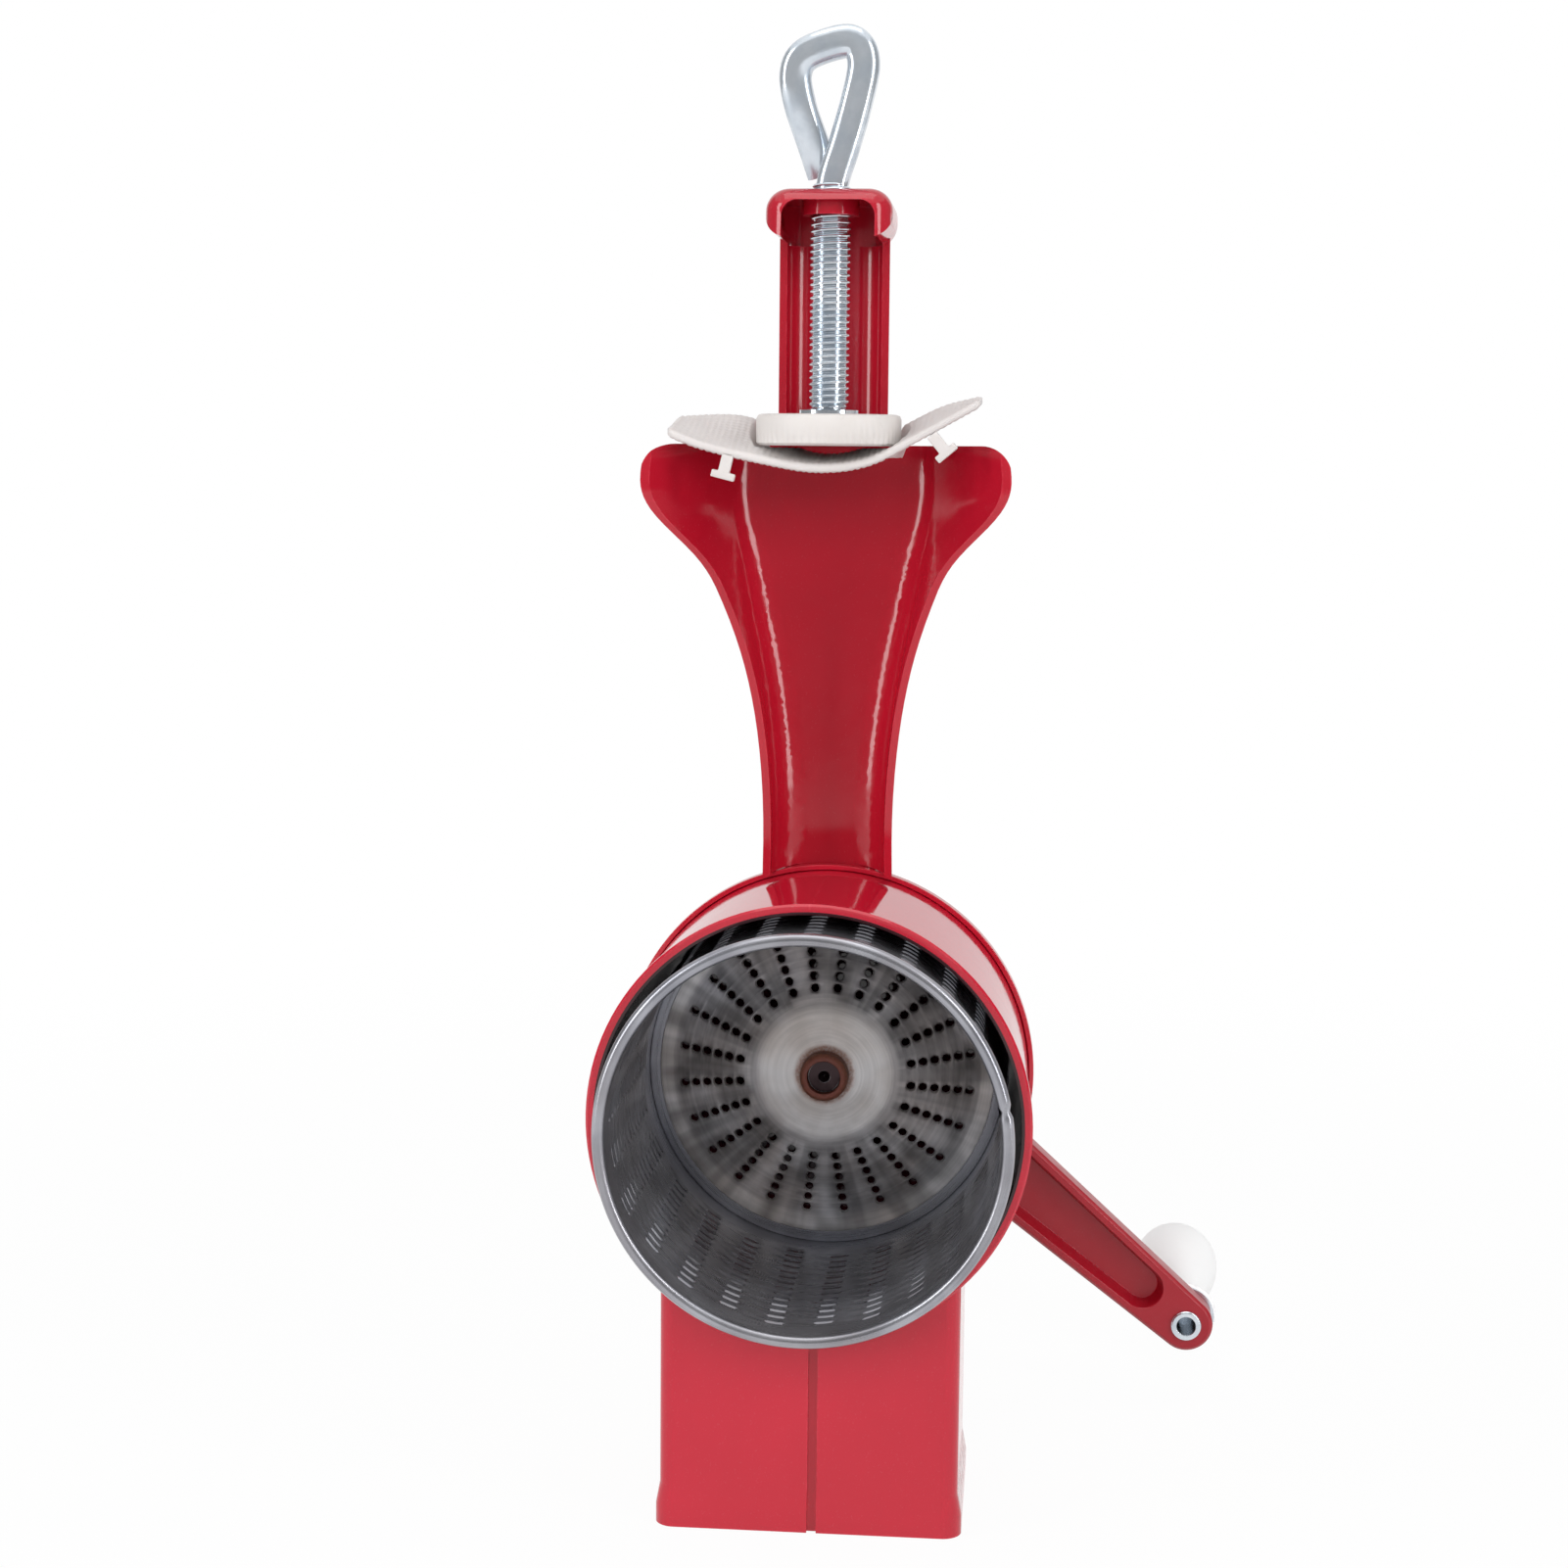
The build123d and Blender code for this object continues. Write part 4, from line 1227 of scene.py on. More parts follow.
@dataclass
class Drum:
    """The perforated drum: rolled shell, dished end, hub and the shaft's visible end."""

    sheet: float = 0.5 * MM
    columns: int = 25
    blank_column: int = 1
    first_heading: float = 3.1
    row_pitch: float = 3.4 * MM
    full_rows: int = 14
    first_row: float = 7.6 * MM
    bump_height: float = 0.34 * MM
    seam_heading: float = 11.6
    edge_fold: float = 2.2 * MM
    bead_radius: float = 1.2 * MM
    bead_segments: int = 200
    bead_sections: int = 18
    joint_size: float = 0.66
    joint_half_turn: float = 1.0
    end_rows: int = 24
    end_holes: int = 6
    end_first: float = 17.4 * MM
    end_pitch: float = 2.36 * MM
    end_hole: float = 0.84 * MM
    end_hole_depth: float = 0.5 * MM
    end_overlap: float = 3.4 * MM
    unpunched_heading: float = 7.5
    shell: Span = field(default_factory=lambda: Span.of("drum_shell"))
    end: Span = field(default_factory=lambda: Span.of("drum_end"))

    @property
    def bore(self) -> float:
        """Inner radius of the shell: the drum end's radius less the sheet."""
        return self.end.size.x / 2 - self.sheet

    def build(self) -> None:
        """Build and dress every piece of the drum."""
        dress(self.make_shell(), SHELL_STEEL, Body.DRUM, Slot.DRUM_STEEL, "drum_shell")
        dress(self.make_bead(), SHELL_STEEL, Body.DRUM, Slot.DRUM_STEEL, "drum_shell")
        dress(self.make_end(), END_STEEL, Body.DRUM, Slot.DRUM_STEEL, "drum_end")
        dress_carried("drum_hub", "turned", 0.25 * MM, HUB_RUSTY, Body.DRUM, Slot.HUB_STEEL)
        dress_node("crank_shaft", SHAFT_END)
        dress_node("thrust_washer", TURNED_STEEL)

    def make_shell(self) -> Piece:
        """Build the rolled shell, punched in staggered columns, with its turned-in far edge.

        Returns:
            The piece.
        """
        work = Sheetwork()
        punched = Perforation(
            work, lambda across, along, lift: drum_place(along, self.bore + lift, across), self.sheet
        )
        punch = Punch()
        pitch = 360 / self.columns
        half = (pitch / 2, self.row_pitch / 2)
        foot = punch.oval(0.0, 0.94, 0.86, 3.2)
        shoulder = punch.oval(0.16, 0.72, 0.7, 2.6)
        mouth = punch.oval(0.4, 0.42, 0.5, 2.6)
        outline = (
            (punch.border(), punch.level()),
            (foot, punch.level()),
            (shoulder, self.bump_lifts(shoulder, 0.75)),
            (mouth, self.bump_lifts(mouth, 1.0)),
        )
        front = self.shell.low.y
        back = self.shell.high.y
        for column in range(self.columns):
            heading = self.first_heading + column * pitch - pitch / 4
            stagger = column % 2
            start = front + self.first_row + stagger * half[1] - half[1]
            rows = 0 if column == self.blank_column else self.full_rows - stagger
            stop = start + rows * self.row_pitch
            for row in range(rows):
                punched.cell(outline, (heading, start + (row + 0.5) * self.row_pitch), half)
            punched.plain(heading, half[0], front + self.bead_radius, start)
            punched.plain(heading, half[0], stop, back)
        inner = self.bore - self.edge_fold
        fold = (
            (0.9, self.bore, 0.1), (1.8, self.bore, -0.2), (2.0, self.bore, -1.0), (2.0, inner, 0.3),
            (1.7, inner, 0.0), (1.3, inner, 0.0), (1.0, inner, 0.3),
        )
        profile = [(back - before * self.sheet, radius + more * self.sheet) for before, radius, more in fold]
        work.spin(profile, drum_place, self.columns * 4)
        return smooth(work.piece("drum_shell_punched"), 40.0)

    def bump_lifts(self, places: Sequence[Pair], share: float) -> list[float]:
        """Heights of a ring on the pressed bump, which climbs towards the hole.

        Args:
            places: The ring's places in the cell.
            share: How much of the bump's height the ring can reach.

        Returns:
            One lift for each place.
        """
        lifts = []
        for across, _ in places:
            climb = min(1.0, max(0.0, (across + 0.9) / 1.15))
            fall = 1.0 if across < 0.55 else max(0.25, 1.0 - (across - 0.55) * 2.4)
            lifts.append(self.bump_height * share * climb * fall)
        return lifts

    def make_bead(self) -> Piece:
        """Build the rolled bead round the mouth, with the joint where its two ends lap.

        Returns:
            The piece.
        """
        work = Sheetwork()
        middle_y = self.shell.low.y + self.bead_radius
        middle_radius = self.bore + self.bead_radius
        turns = [math.tau * part / self.bead_sections for part in range(self.bead_sections)]
        circle = [(math.sin(turn), math.cos(turn)) for turn in turns]
        rings = []
        for step in range(self.bead_segments):
            heading = 360 * step / self.bead_segments
            apart = abs((heading - self.seam_heading + 180) % 360 - 180)
            size = self.bead_radius * (self.joint_size if apart < self.joint_half_turn else 1.0)
            rings.append(
                work.row(
                    drum_place(middle_y + size * sine, middle_radius + size * cosine, heading)
                    for sine, cosine in circle
                )
            )
        work.skin(rings + rings[:1])
        return smooth(work.piece("drum_rolled_bead"), 50.0)

    def make_end(self) -> Piece:
        """Build the dished end with its radial rows of holes, following the frame's dish.

        Returns:
            The piece.
        """
        probe = Probe("drum_end")
        inward = Vector((0, 1, 0))
        start_y = self.end.low.y - 10 * MM

        def dish(radius: float) -> float:
            """Front of the dish at a radius."""
            met = probe.meet(drum_place(start_y, radius, self.unpunched_heading), inward)
            return met.y if met else self.end.high.y - self.sheet

        heights: dict[float, float] = {}

        def near(across: float, along: float, lift: float) -> Vector:
            """Point of the dish: heading, radius and lift away from the mouth."""
            key = round(along, 6)
            if key not in heights:
                heights[key] = dish(along)
            return drum_place(heights[key] + lift, along, across)

        work = Sheetwork()
        punched = Perforation(work, near, self.sheet)
        punch = Punch()
        step = 360 / self.end_rows
        segments = self.end_rows * punch.across
        for row in range(self.end_rows):
            for hole in range(self.end_holes):
                radius = self.end_first + hole * self.end_pitch
                arc = math.radians(step / 2) * radius
                wide = self.end_hole / arc
                tall = self.end_hole / (self.end_pitch / 2)
                rings = (
                    (punch.border(), punch.level()),
                    (punch.oval(0.0, wide * 1.5, min(0.97, tall * 1.32), 2.0), punch.level()),
                    (punch.oval(0.0, wide, tall, 2.0), punch.level(self.end_hole_depth)),
                )
                punched.cell(rings, (step * row + step / 2, radius), (step / 2, self.end_pitch / 2))
        inner_edge = self.end_first - self.end_pitch / 2
        outer_edge = self.end_first + (self.end_holes - 0.5) * self.end_pitch
        hub_radius = Span.of("drum_hub").size.x / 2 - self.end_overlap

        def ring(radius: float, lift: float) -> list[int]:
            """Add one ring of the dish at a radius and a lift."""
            return work.row(near(360 * at / segments, radius, lift) for at in range(segments))

        for inside, outside, steps in ((hub_radius, inner_edge, 12), (outer_edge, self.bore, 10)):
            radii = [inside + (outside - inside) * part / steps for part in range(steps + 1)]
            for lift in (0.0, self.sheet):
                work.skin([ring(radius, lift) for radius in radii])
        for radius in (hub_radius, self.bore):
            work.skin([ring(radius, lift) for lift in (0.0, self.sheet)])
        return smooth(work.piece("drum_end_punched"), 50.0)


@dataclass
class Housing:
    """The sleeve with its hopper, pressed in two halves, and the back plate that closes it."""

    edge_round: float = 0.28 * MM

    def build(self) -> None:
        """Build and dress the housing's pieces."""
        for node in ("housing_left", "housing_right", "back_plate"):
            dress_carried(node, "pressed", self.edge_round, HOUSING_ENAMEL, Body.STAND, Slot.HOUSING_ENAMEL)


class FramePressing:
    """The channel frame that carries the clamp, with the bearing behind it."""

    def build(self) -> None:
        """Build and dress the frame and the bearing's pieces."""
        for node, work, edge_round in (("frame", "pressed", 0.4 * MM), ("bearing_tube", "turned", 0.3 * MM)):
            dress_carried(node, work, edge_round, FRAME_ENAMEL, Body.STAND, Slot.FRAME_ENAMEL)
        for node in ("front_bush", "rear_bush"):
            dress_node(node, BRASS)
        dress_node("clamp_nut", FRAME_ENAMEL)


@dataclass
class Clamp:
    """The clamp screw with its thread and loop, the swivel washer and the pressure disc.

    The loop's bends are places across, behind the screw's axis and above its base, in millimetres.
    """

    thread_pitch: float = 1.25 * MM
    thread_depth: float = 0.62 * MM
    crest: float = 3.9 * MM
    taper: float = 0.8 * MM
    tip_radius: float = 2.4 * MM
    around: int = 40
    steps: int = 8
    bar: Pair = (3.1 * MM, 2.9 * MM)
    bar_sections: int = 20
    bends: tuple[Triple, ...] = (
        (0.0, 0.0, -3.0), (0.5, 0.0, 1.0), (2.5, 0.0, 7.4), (4.6, 0.0, 15.0), (5.9, 0.0, 21.6),
        (4.8, 0.0, 25.4), (1.6, 0.1, 26.2), (-5.0, 0.6, 24.0), (-7.1, 1.2, 20.4), (-6.2, 2.2, 14.6),
        (-4.0, 3.8, 8.2), (-2.0, 5.4, 2.2),
    )
    disc_teeth: int = 60
    tooth_depth: float = 0.22 * MM
    screw: Span = field(default_factory=lambda: Span.of("clamp_screw"))
    washer: Span = field(default_factory=lambda: Span.of("swivel_washer"))
    disc: Span = field(default_factory=lambda: Span.of("pressure_disc"))
    cap_top: float = field(default_factory=lambda: Span.of("frame").high.z)

    def build(self) -> None:
        """Build and dress the clamp's pieces."""
        dress(self.make_thread(), ZINC, Body.SCREW, Slot.ZINC_STEEL, "clamp_screw")
        dress(self.make_loop(), LOOP_ZINC, Body.SCREW, Slot.ZINC_STEEL, "clamp_screw")
        dress_node("swivel_washer", ZINC)
        dress(self.make_disc(), DISC_PLASTIC, Body.CLAMP, Slot.DISC_PLASTIC, "pressure_disc")

    def make_thread(self) -> Piece:
        """Build the threaded shank as a helical sheet, with its turned-down tip.

        Returns:
            The piece.
        """
        work = Sheetwork()
        bottom = self.washer.high.z + 0.15 * MM
        top = self.cap_top + 1.2 * MM
        core = self.crest - 0.7 * MM
        rows = math.ceil((top - bottom) / self.thread_pitch * self.steps) + self.steps
        grid: list[list[int]] = []
        for row in range(-self.steps, rows):
            ring = []
            for part in range(self.around):
                height = bottom + self.thread_pitch * (row / self.steps + part / self.around)
                held = min(max(height, bottom), top)
                phase = abs((row % self.steps) / self.steps - 0.5) * 2
                flank = min(1.0, max(0.0, (phase - 0.12) / 0.72))
                radius = self.crest - self.thread_depth * (1 - flank)
                ends = min(held - bottom, top - held)
                radius = min(radius, self.crest - max(0.0, self.taper - ends) * 0.8)
                ring.append(screw_place(held, radius, 360 * part / self.around))
            grid.append(work.row(ring))
        work.skin(grid, closed=False)
        for at in range(len(grid) - 1 - self.steps):
            here, there = grid[at : at + 2], grid[at + self.steps : at + self.steps + 2]
            work.faces.append((here[0][-1], there[0][0], there[1][0], here[1][-1]))
        tip = self.screw.low.z
        closings = (
            ((bottom + 0.01 * MM, core), (bottom, self.tip_radius), (tip + 0.3 * MM, self.tip_radius),
             (tip, self.tip_radius - 0.3 * MM), (tip, 0.0)),
            ((top, core), (top, 0.0)),
        )
        for profile in closings:
            work.spin(profile, screw_place, self.around, closed=False)
        return smooth(work.piece("clamp_screw_thread"), 60.0)

    def make_loop(self) -> Piece:
        """Bend the bar above the thread into its finger loop.

        Returns:
            The piece.
        """
        base = self.cap_top + 1.4 * MM
        knots = [Vector((x * MM, Axes.screw_y + y * MM, base + z * MM)) for x, y, z in self.bends]
        path = list(follow(knots, 7))
        turns = [math.tau * part / self.bar_sections for part in range(self.bar_sections)]
        section = [(blunt(math.cos(turn)), blunt(math.sin(turn))) for turn in turns]
        work = Sheetwork()
        rings = []
        side = Vector((0, 1, 0))
        for at, point in enumerate(path):
            ahead = (path[min(at + 1, len(path) - 1)] - path[max(at - 1, 0)]).normalized()
            across = ahead.cross(side).normalized()
            front = across.cross(ahead).normalized()
            rings.append(
                work.row(
                    point + across * self.bar[0] * wide + front * self.bar[1] * deep for wide, deep in section
                )
            )
        work.skin(rings)
        work.cap(rings[0])
        work.cap(rings[-1])
        return smooth(work.piece("clamp_screw_loop"), 60.0)

    def make_disc(self) -> Piece:
        """Build the pressure disc with the fine teeth moulded round its lower edge.

        Returns:
            The piece.
        """
        work = Sheetwork()
        radius = self.disc.size.x / 2
        low, high = self.disc.low.z, self.disc.high.z
        pocket = self.tip_radius + 0.1 * MM
        floor = high - 2.6 * MM
        around = self.disc_teeth * 4
        profile = (
            (floor, 0.0, 0.0),
            (floor, pocket, 0.0),
            (high, pocket, 0.0),
            (high, radius - 0.9 * MM, 0.0),
            (high - 0.25 * MM, radius - 0.3 * MM, 0.0),
            (high - 0.9 * MM, radius, 0.0),
            (low + 2.2 * MM, radius, 0.0),
            (low + 1.6 * MM, radius, self.tooth_depth),
            (low + 0.5 * MM, radius - 0.05 * MM, self.tooth_depth),
            (low + 0.1 * MM, radius - 0.5 * MM, self.tooth_depth),
            (low, radius - 1.2 * MM, 0.0),
            (low, 0.0, 0.0),
        )
        work.skin([
            work.row(
                screw_place(height, reach - (depth if at % 4 < 2 else 0.0), 360 * at / around)
                for at in range(around)
            )
            for height, reach, depth in profile
        ])
        return smooth(work.piece("pressure_disc_moulded"), 40.0)


def follow(knots: Sequence[Vector], steps: int) -> Iterable[Vector]:
    """Points along a smooth curve through its knots.

    Args:
        knots: The curve's knots.
        steps: How many points each stretch gets.

    Yields:
        The points in order.
    """
    for at in range(len(knots) - 1):
        before = knots[max(at - 1, 0)]
        here, there = knots[at], knots[at + 1]
        after = knots[min(at + 2, len(knots) - 1)]
        for step in range(steps):
            t = step / steps
            yield 0.5 * (
                2 * here
                + (there - before) * t
                + (2 * before - 5 * here + 4 * there - after) * t**2
                + (3 * here - before - 3 * there + after) * t**3
            )
    yield knots[-1]


def blunt(value: float, power: float = 0.68) -> float:
    """Push a sine towards its ends, so that a round section becomes a little squarer.

    Args:
        value: The sine or cosine.
        power: 1 keeps it round, and less makes it squarer.

    Returns:
        The pushed value.
    """
    return math.copysign(abs(value) ** power, value)


def through(knots: Sequence[Pair], place: float) -> float:
    """Height of a smooth line through its knots.

    Args:
        knots: Pairs of a place and a height, in order.
        place: Where the height is wanted.

    Returns:
        The height.
    """
    at = max(0, min(len(knots) - 2, sum(1 for knot in knots[1:] if knot[0] < place)))
    before, after = knots[max(at - 1, 0)], knots[min(at + 2, len(knots) - 1)]
    here, there = knots[at], knots[at + 1]
    reach = there[0] - here[0]
    t = min(1.0, max(0.0, (place - here[0]) / reach))
    leave = (there[1] - before[1]) / (there[0] - before[0]) * reach
    arrive = (after[1] - here[1]) / (after[0] - here[0]) * reach
    curve = (2 * t**3 - 3 * t**2 + 1) * here[1] + (t**3 - 2 * t**2 + t) * leave
    return curve + (3 * t**2 - 2 * t**3) * there[1] + (t**3 - t**2) * arrive


@dataclass
class JawPad:
    """The woven pad that sags between the jaw's lobes, with its two hooks.

    Its edges are places across and heights above the drum's axis, in millimetres.
    """

    front_edge: tuple[Pair, ...] = (
        (-30.5, 126.8), (-23.4, 124.2), (-11.5, 121.5), (-1.0, 120.1), (8.6, 121.5), (18.1, 126.4),
        (29.5, 132.8),
    )
    back_edge: tuple[Pair, ...] = (
        (-30.5, 129.2), (-19.5, 129.8), (-14.1, 128.6), (-4.8, 122.8), (4.8, 122.9), (15.2, 128.4),
        (21.8, 131.6), (29.5, 133.5),
    )
    sheet: float = 1.9 * MM
    weave: float = 1.15 * MM
    relief: float = 0.24 * MM
    rim_drop: float = 0.45 * MM
    sag_power: float = 1.3
    step: float = 0.29 * MM
    margin: float = 0.25 * MM
    left_round: float = 2.2 * MM
    right_round: float = 1.6 * MM
    disc_room: float = 0.3 * MM
    disc_slope: float = 2.6
    hook_places: tuple[Triple, ...] = ((-18.8, 121.9, -14.0), (21.4, 126.0, 40.0))
    hook_outline: tuple[Pair, ...] = (
        (-1.1, 2.0), (1.1, 2.0), (1.1, -1.7), (2.3, -1.7),
        (2.3, -3.1), (-2.3, -3.1), (-2.3, -1.7), (-1.1, -1.7),
    )
    hook_sheet: float = 1.6 * MM
    pad: Span = field(default_factory=lambda: Span.of("jaw_pad"))
    disc: Span = field(default_factory=lambda: Span.of("pressure_disc"))

    def build(self) -> None:
        """Build and dress the pad and its hooks."""
        dress(self.make_pad(), PAD_PLASTIC, Body.STAND, Slot.PAD_PLASTIC, "jaw_pad")
        for side, place in zip(("left", "right"), self.hook_places):
            hook = self.make_hook(f"jaw_pad_hook_{side}", *place)
            dress(hook, PAD_PLASTIC, Body.STAND, Slot.PAD_PLASTIC, "jaw_pad")

    def under(self, x: float, y: float) -> float:
        """Height of the pad's underside, which keeps clear of the pressure disc.

        Args:
            x: Place across.
            y: Place along.

        Returns:
            The height.
        """
        share = (y - self.pad.low.y) / self.pad.size.y
        front, back = through(self.front_edge, x / MM) * MM, through(self.back_edge, x / MM) * MM
        height = Axes.drum_height + front + (back - front) * share**self.sag_power
        away = math.hypot(x, y - Axes.screw_y) - self.disc.size.x / 2
        ceiling = self.disc.low.z - self.disc_room + self.disc_slope * max(0.0, away - 0.3 * MM)
        return min(height, ceiling - self.sheet)

    def make_pad(self) -> Piece:
        """Build the woven sheet, with its ends rounded.

        Returns:
            The piece.
        """
        work = Sheetwork()
        low_x, high_x = self.pad.low.x + self.margin, self.pad.high.x - self.margin
        low_y, high_y = self.pad.low.y + 0.02 * MM, self.pad.high.y - 0.02 * MM
        across = round((high_x - low_x) / self.step)
        along = round((high_y - low_y) / self.step)
        top: list[list[int]] = []
        under: list[list[int]] = []
        for j in range(along + 1):
            over_row, under_row = [], []
            for i in range(across + 1):
                x = low_x + (high_x - low_x) * i / across
                inset = self.end_inset(x - low_x, self.left_round)
                inset += self.end_inset(high_x - x, self.right_round)
                y = low_y + inset + (high_y - low_y - 2 * inset) * j / along
                height = self.under(x, y)
                dip = self.relief * self.woven(x, y)
                rim = min(1.0, min(i, across - i, j, along - j) / 2)
                dip *= rim
                drop = self.rim_drop * (1 - rim)
                over_row.append((x, y, height + self.sheet - dip - drop))
                under_row.append((x, y, height + dip + drop))
            top.append(work.row(over_row))
            under.append(work.row(under_row))
        for rows in (top, under):
            work.skin(rows, closed=False)
        for end in (0, -1):
            work.bridge(top[end], under[end], closed=False)
        for end in (0, -1):
            work.bridge([row[end] for row in top], [row[end] for row in under], closed=False)
        return smooth(work.piece("jaw_pad_woven"), 70.0)

    @staticmethod
    def end_inset(away: float, rounding: float) -> float:
        """How far a rounded end draws in the pad's edges.

        Args:
            away: Distance from the end.
            rounding: The corner's radius.

        Returns:
            The inset.
        """
        if away >= rounding:
            return 0.0
        return rounding - math.sqrt(rounding**2 - (rounding - away) ** 2)

    def woven(self, x: float, y: float) -> float:
        """Depth of the weave, from 0 on a strand to 1 between strands.

        Args:
            x: Place across.
            y: Place along.

        Returns:
            The depth.
        """
        u, v = x / self.weave, y / self.weave
        over = (math.floor(u) + math.floor(v)) % 2
        crown_u = abs(math.sin(math.pi * u))
        crown_v = abs(math.sin(math.pi * v))
        crown = crown_u * (0.45 + 0.55 * crown_v) if over else crown_v * (0.45 + 0.55 * crown_u)
        return 1.0 - crown

    def make_hook(self, name: str, across: float, height: float, lean: float) -> Piece:
        """Build one T-shaped hook under the pad's front edge.

        Args:
            name: The piece's name.
            across: Its place across, in millimetres.
            height: Its height above the drum's axis, in millimetres.
            lean: How far it leans, in degrees.

        Returns:
            The piece.
        """
        work = Sheetwork()
        turn = Matrix.Rotation(-math.radians(lean), 3, "Y")
        middle = Vector((across * MM, self.pad.low.y, Axes.drum_height + height * MM))
        rows = [
            work.row(
                middle + turn @ Vector((u * MM, 0, v * MM)) + Vector((0, depth, 0))
                for u, v in self.hook_outline
            )
            for depth in (0.02 * MM, self.hook_sheet)
        ]
        work.skin(rows)
        for row in rows:
            work.cap(row)
        made = work.piece(name)
        form = bmesh.new()
        form.from_mesh(made.data)
        bmesh.ops.bevel(form, geom=form.edges[:], offset=0.25 * MM, segments=3, profile=0.5, affect="EDGES")
        form.to_mesh(made.data)
        form.free()
        return smooth(made)


class Crank:
    """The crank arm with its recess, its washer and nut, and the grip on its hollow rivet."""

    def build(self) -> None:
        """Build and dress the crank's pieces."""
        for node, work, edge_round, finish, body, slot in (
            ("crank_arm", "cast", 0.35 * MM, CRANK_ENAMEL, Body.DRUM, Slot.CRANK_ENAMEL),
            ("crank_washer", "plated", 0.15 * MM, ZINC, Body.DRUM, Slot.ZINC_STEEL),
            ("crank_nut", "plated", 0.2 * MM, ZINC, Body.DRUM, Slot.ZINC_STEEL),
            ("grip_rivet", "rolled", 0.15 * MM, ZINC, Body.DRUM, Slot.RIVET_STEEL),
            ("grip", "moulded", 0.3 * MM, GRIP_PLASTIC, Body.GRIP, Slot.GRIP_PLASTIC),
        ):
            dress_carried(node, work, edge_round, finish, body, slot)
        dress_node("grip_washer", ZINC)


# ---------------------------------------------------------------- studio


LAMP_TARGET: Triple = (0.0, 0.0, 0.14)
WHITE: Colour = (1.0, 1.0, 1.0)


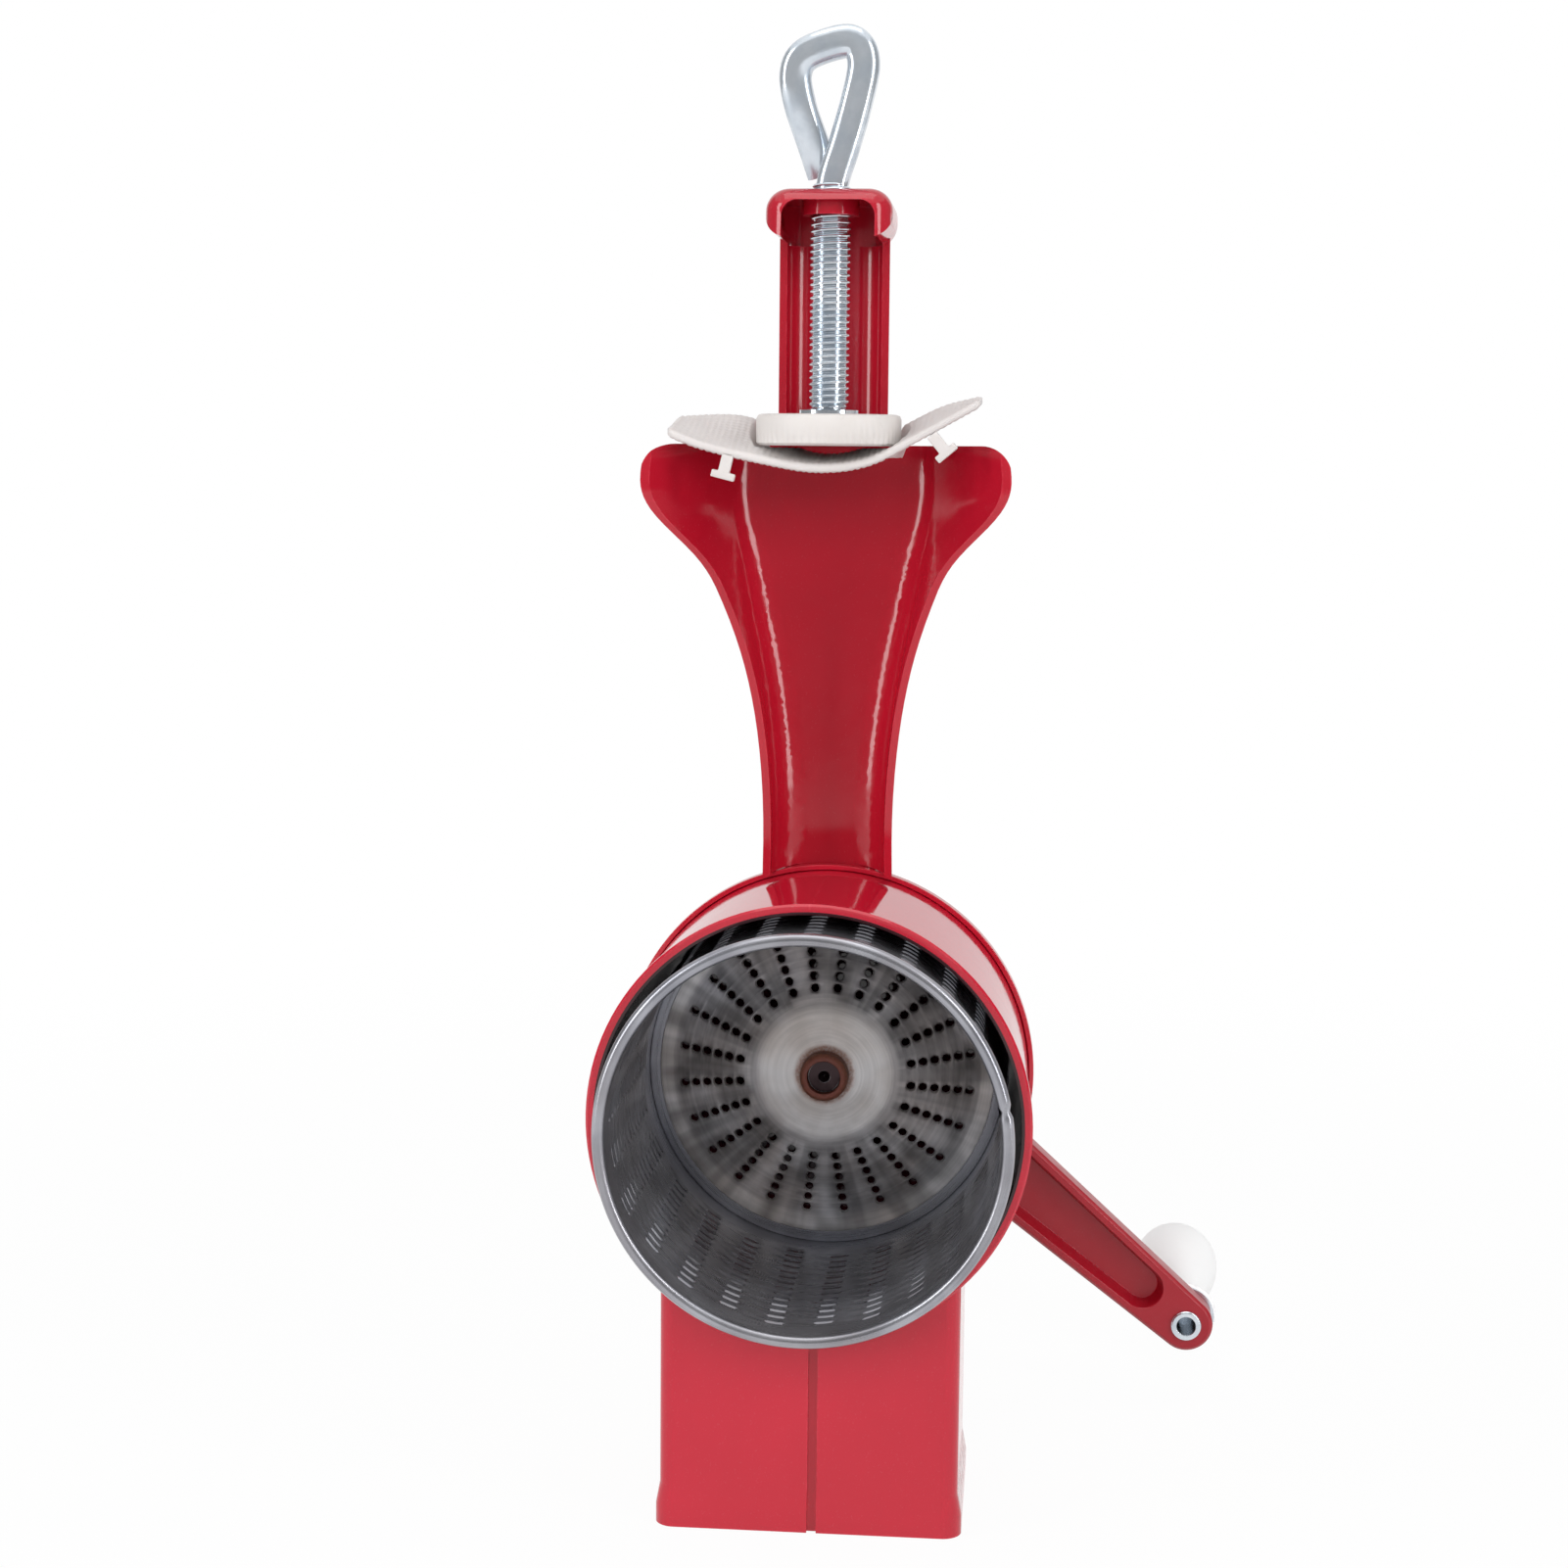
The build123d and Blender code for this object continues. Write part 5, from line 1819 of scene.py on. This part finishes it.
@dataclass
class Studio:
    """Floor, backdrop, lamps and camera."""

    camera_place: Triple = (0.0392, -0.5051, 0.2056)
    camera_left: float = 5.279
    camera_down: float = 7.136
    camera_roll: float = 0.5
    lens: float = 60.71
    floor_size: float = 12.0
    floor_white: float = 0.96
    floor_grey: Colour = (0.86, 0.86, 0.86)
    # where the floor, seen in reflections, dims to the wall's grey: a painted reflection
    reflected_dim_edge: Pair = (-1.2, -0.8)
    shadow_reach: float = 0.6
    ambient: float = 0.36
    wall_radius: float = 2.2
    wall_height: float = 2.0
    wall_half_turn: float = 135.0
    wall_steps: int = 48
    wall_low: float = 0.26
    wall_high: float = 0.34

    def build(self) -> None:
        """Set the plain view transform and build the floor, wall, world, lamps and camera."""
        bpy.context.scene.view_settings.view_transform = "Standard"
        self.make_floor()
        self.make_wall()
        self.make_world()
        self.make_lamps()
        self.make_camera()

    @staticmethod
    def seen_directly(wires: Wiring) -> Socket:
        """1 for rays from the camera and for those that a glossy or clear surface sends on.

        Args:
            wires: The material's or world's wiring.

        Returns:
            The mask's socket.
        """
        path = wires.node("LightPath").outputs
        mirrored = wires.math("MAXIMUM", path["Is Glossy Ray"], path["Is Transmission Ray"])
        return wires.math("MAXIMUM", path["Is Camera Ray"], mirrored)

    def make_wall(self) -> None:
        """Set a dim curved wall behind the camera, which only reflections show."""
        work = Sheetwork()
        reach = math.radians(self.wall_half_turn)
        turns = [reach * (2 * step / self.wall_steps - 1) for step in range(self.wall_steps + 1)]
        radius = self.wall_radius
        arc = [(radius * math.sin(turn), -radius * math.cos(turn)) for turn in turns]
        rows = [work.row((x, y, height) for x, y in arc) for height in (0.0, self.wall_height)]
        work.skin(rows, closed=False)
        wall = work.piece("studio_wall")
        made = bpy.data.materials.new("studio_wall_grey")
        wires = rewired(made)
        height = wires.axis(wires.place, "Z")
        tone = wires.spread(height, 0.0, self.wall_height, self.wall_low, self.wall_high)
        grey = wires.node("Emission", {"Color": WHITE, "Strength": tone}).outputs[0]
        wires.node("OutputMaterial", {"Surface": grey})
        wall.data.materials.append(made)
        wall.visible_camera = wall.visible_diffuse = wall.visible_shadow = False
        wall.visible_transmission = False

    def make_floor(self) -> None:
        """Lay the pale floor, which shows white and keeps the object's shadow; in reflections its front dims
        to the wall's grey, a painted reflection.
        """
        work = Sheetwork()
        half = self.floor_size / 2
        below = -0.1 * MM
        corners = ((-half, -half), (half, -half), (half, half), (-half, half))
        work.cap(work.row((x, y, below) for x, y in corners))
        floor = work.piece("studio_floor")
        made = bpy.data.materials.new("studio_floor_white")
        wires = rewired(made)
        matt = wires.node("BsdfDiffuse", {"Color": self.floor_grey}).outputs[0]
        place = wires.place
        ahead = wires.axis(place, "Y")
        # painted reflection: in front, glossy rays see the floor only at the wall's dim grey
        reflected_dim = wires.spread(ahead, *self.reflected_dim_edge, self.wall_low, 1.0)
        level = wires.math("MAXIMUM", wires.node("LightPath").outputs["Is Camera Ray"], reflected_dim)
        white = wires.node("Emission", {"Color": WHITE, "Strength": level}).outputs[0]
        distance = wires.node("VectorMath", {0: place}, operation="LENGTH").outputs["Value"]
        whiter = wires.spread(distance, self.shadow_reach / 3, self.shadow_reach, self.floor_white, 1.0)
        share = wires.times(self.seen_directly(wires), whiter)
        mixed = wires.node("MixShader", {0: share, 1: matt, 2: white}).outputs[0]
        wires.node("OutputMaterial", {"Surface": mixed})
        floor.data.materials.append(made)

    def make_world(self) -> None:
        """Light from all round, with a white backdrop."""
        world = bpy.data.worlds.new("studio_world")
        wires = rewired(world)
        soft = wires.node("Background", {"Color": WHITE, "Strength": self.ambient}).outputs[0]
        white = wires.node("Background", {"Color": WHITE, "Strength": 1.0}).outputs[0]
        mixed = wires.node("MixShader", {0: self.seen_directly(wires), 1: soft, 2: white}).outputs[0]
        wires.node("OutputWorld", {"Surface": mixed})
        bpy.context.scene.world = world

    @staticmethod
    def lamp(name: str, place: Triple, size: Pair, power: float,
             mirrored: bool = True) -> None:
        """Hang one soft box that faces the object.

        Args:
            name: The lamp's name.
            place: Where it hangs.
            size: Its width and height.
            power: Its power in watts.
            mirrored: False hides it from glossy surfaces.
        """
        light = bpy.data.lights.new(name, "AREA")
        light.shape = "RECTANGLE"
        light.size, light.size_y = size
        light.energy = power
        made = into_scene(name, light)
        made.location = place
        made.visible_glossy = mirrored
        aim = Vector(LAMP_TARGET) - Vector(place)
        made.rotation_mode = "QUATERNION"
        made.rotation_quaternion = aim.to_track_quat("-Z", "Y")

    def make_lamps(self) -> None:
        """Hang the soft boxes: one each side, one overhead and one above the camera."""
        self.lamp("left_softbox", (-1.0, -0.6, 0.5), (0.3, 1.0), 6.0)
        self.lamp("right_softbox", (1.0, -0.6, 0.5), (0.3, 1.0), 6.0)
        self.lamp("top_softbox", (0.0, -0.1, 1.2), (0.9, 0.7), 3.0)
        self.lamp("front_softbox", (0.0, -1.2, 0.7), (0.8, 0.6), 6.0, mirrored=False)

    def make_camera(self) -> None:
        """Place the camera."""
        data = bpy.data.cameras.new("camera")
        data.lens = self.lens
        data.sensor_width = 36.0
        data.clip_start, data.clip_end = 0.01, 50.0
        made = into_scene("camera", data)
        left, down = math.radians(self.camera_left), math.radians(self.camera_down)
        ahead = Vector((-math.sin(left) * math.cos(down), math.cos(left) * math.cos(down), -math.sin(down)))
        turn = ahead.to_track_quat("-Z", "Y").to_matrix().to_4x4()
        turn = turn @ Matrix.Rotation(math.radians(self.camera_roll), 4, "Z")
        made.matrix_world = Matrix.Translation(self.camera_place) @ turn
        bpy.context.scene.camera = made


def main() -> None:
    """Build every sub-assembly and the studio."""
    logging.basicConfig(level=logging.INFO, format="%(name)s %(message)s")
    for assembly in (Housing(), FramePressing(), Drum(), Clamp(), JawPad(), Crank(), Studio()):
        LOG.info("building %s", type(assembly).__name__)
        assembly.build()


if __name__ == "__main__":
    main()
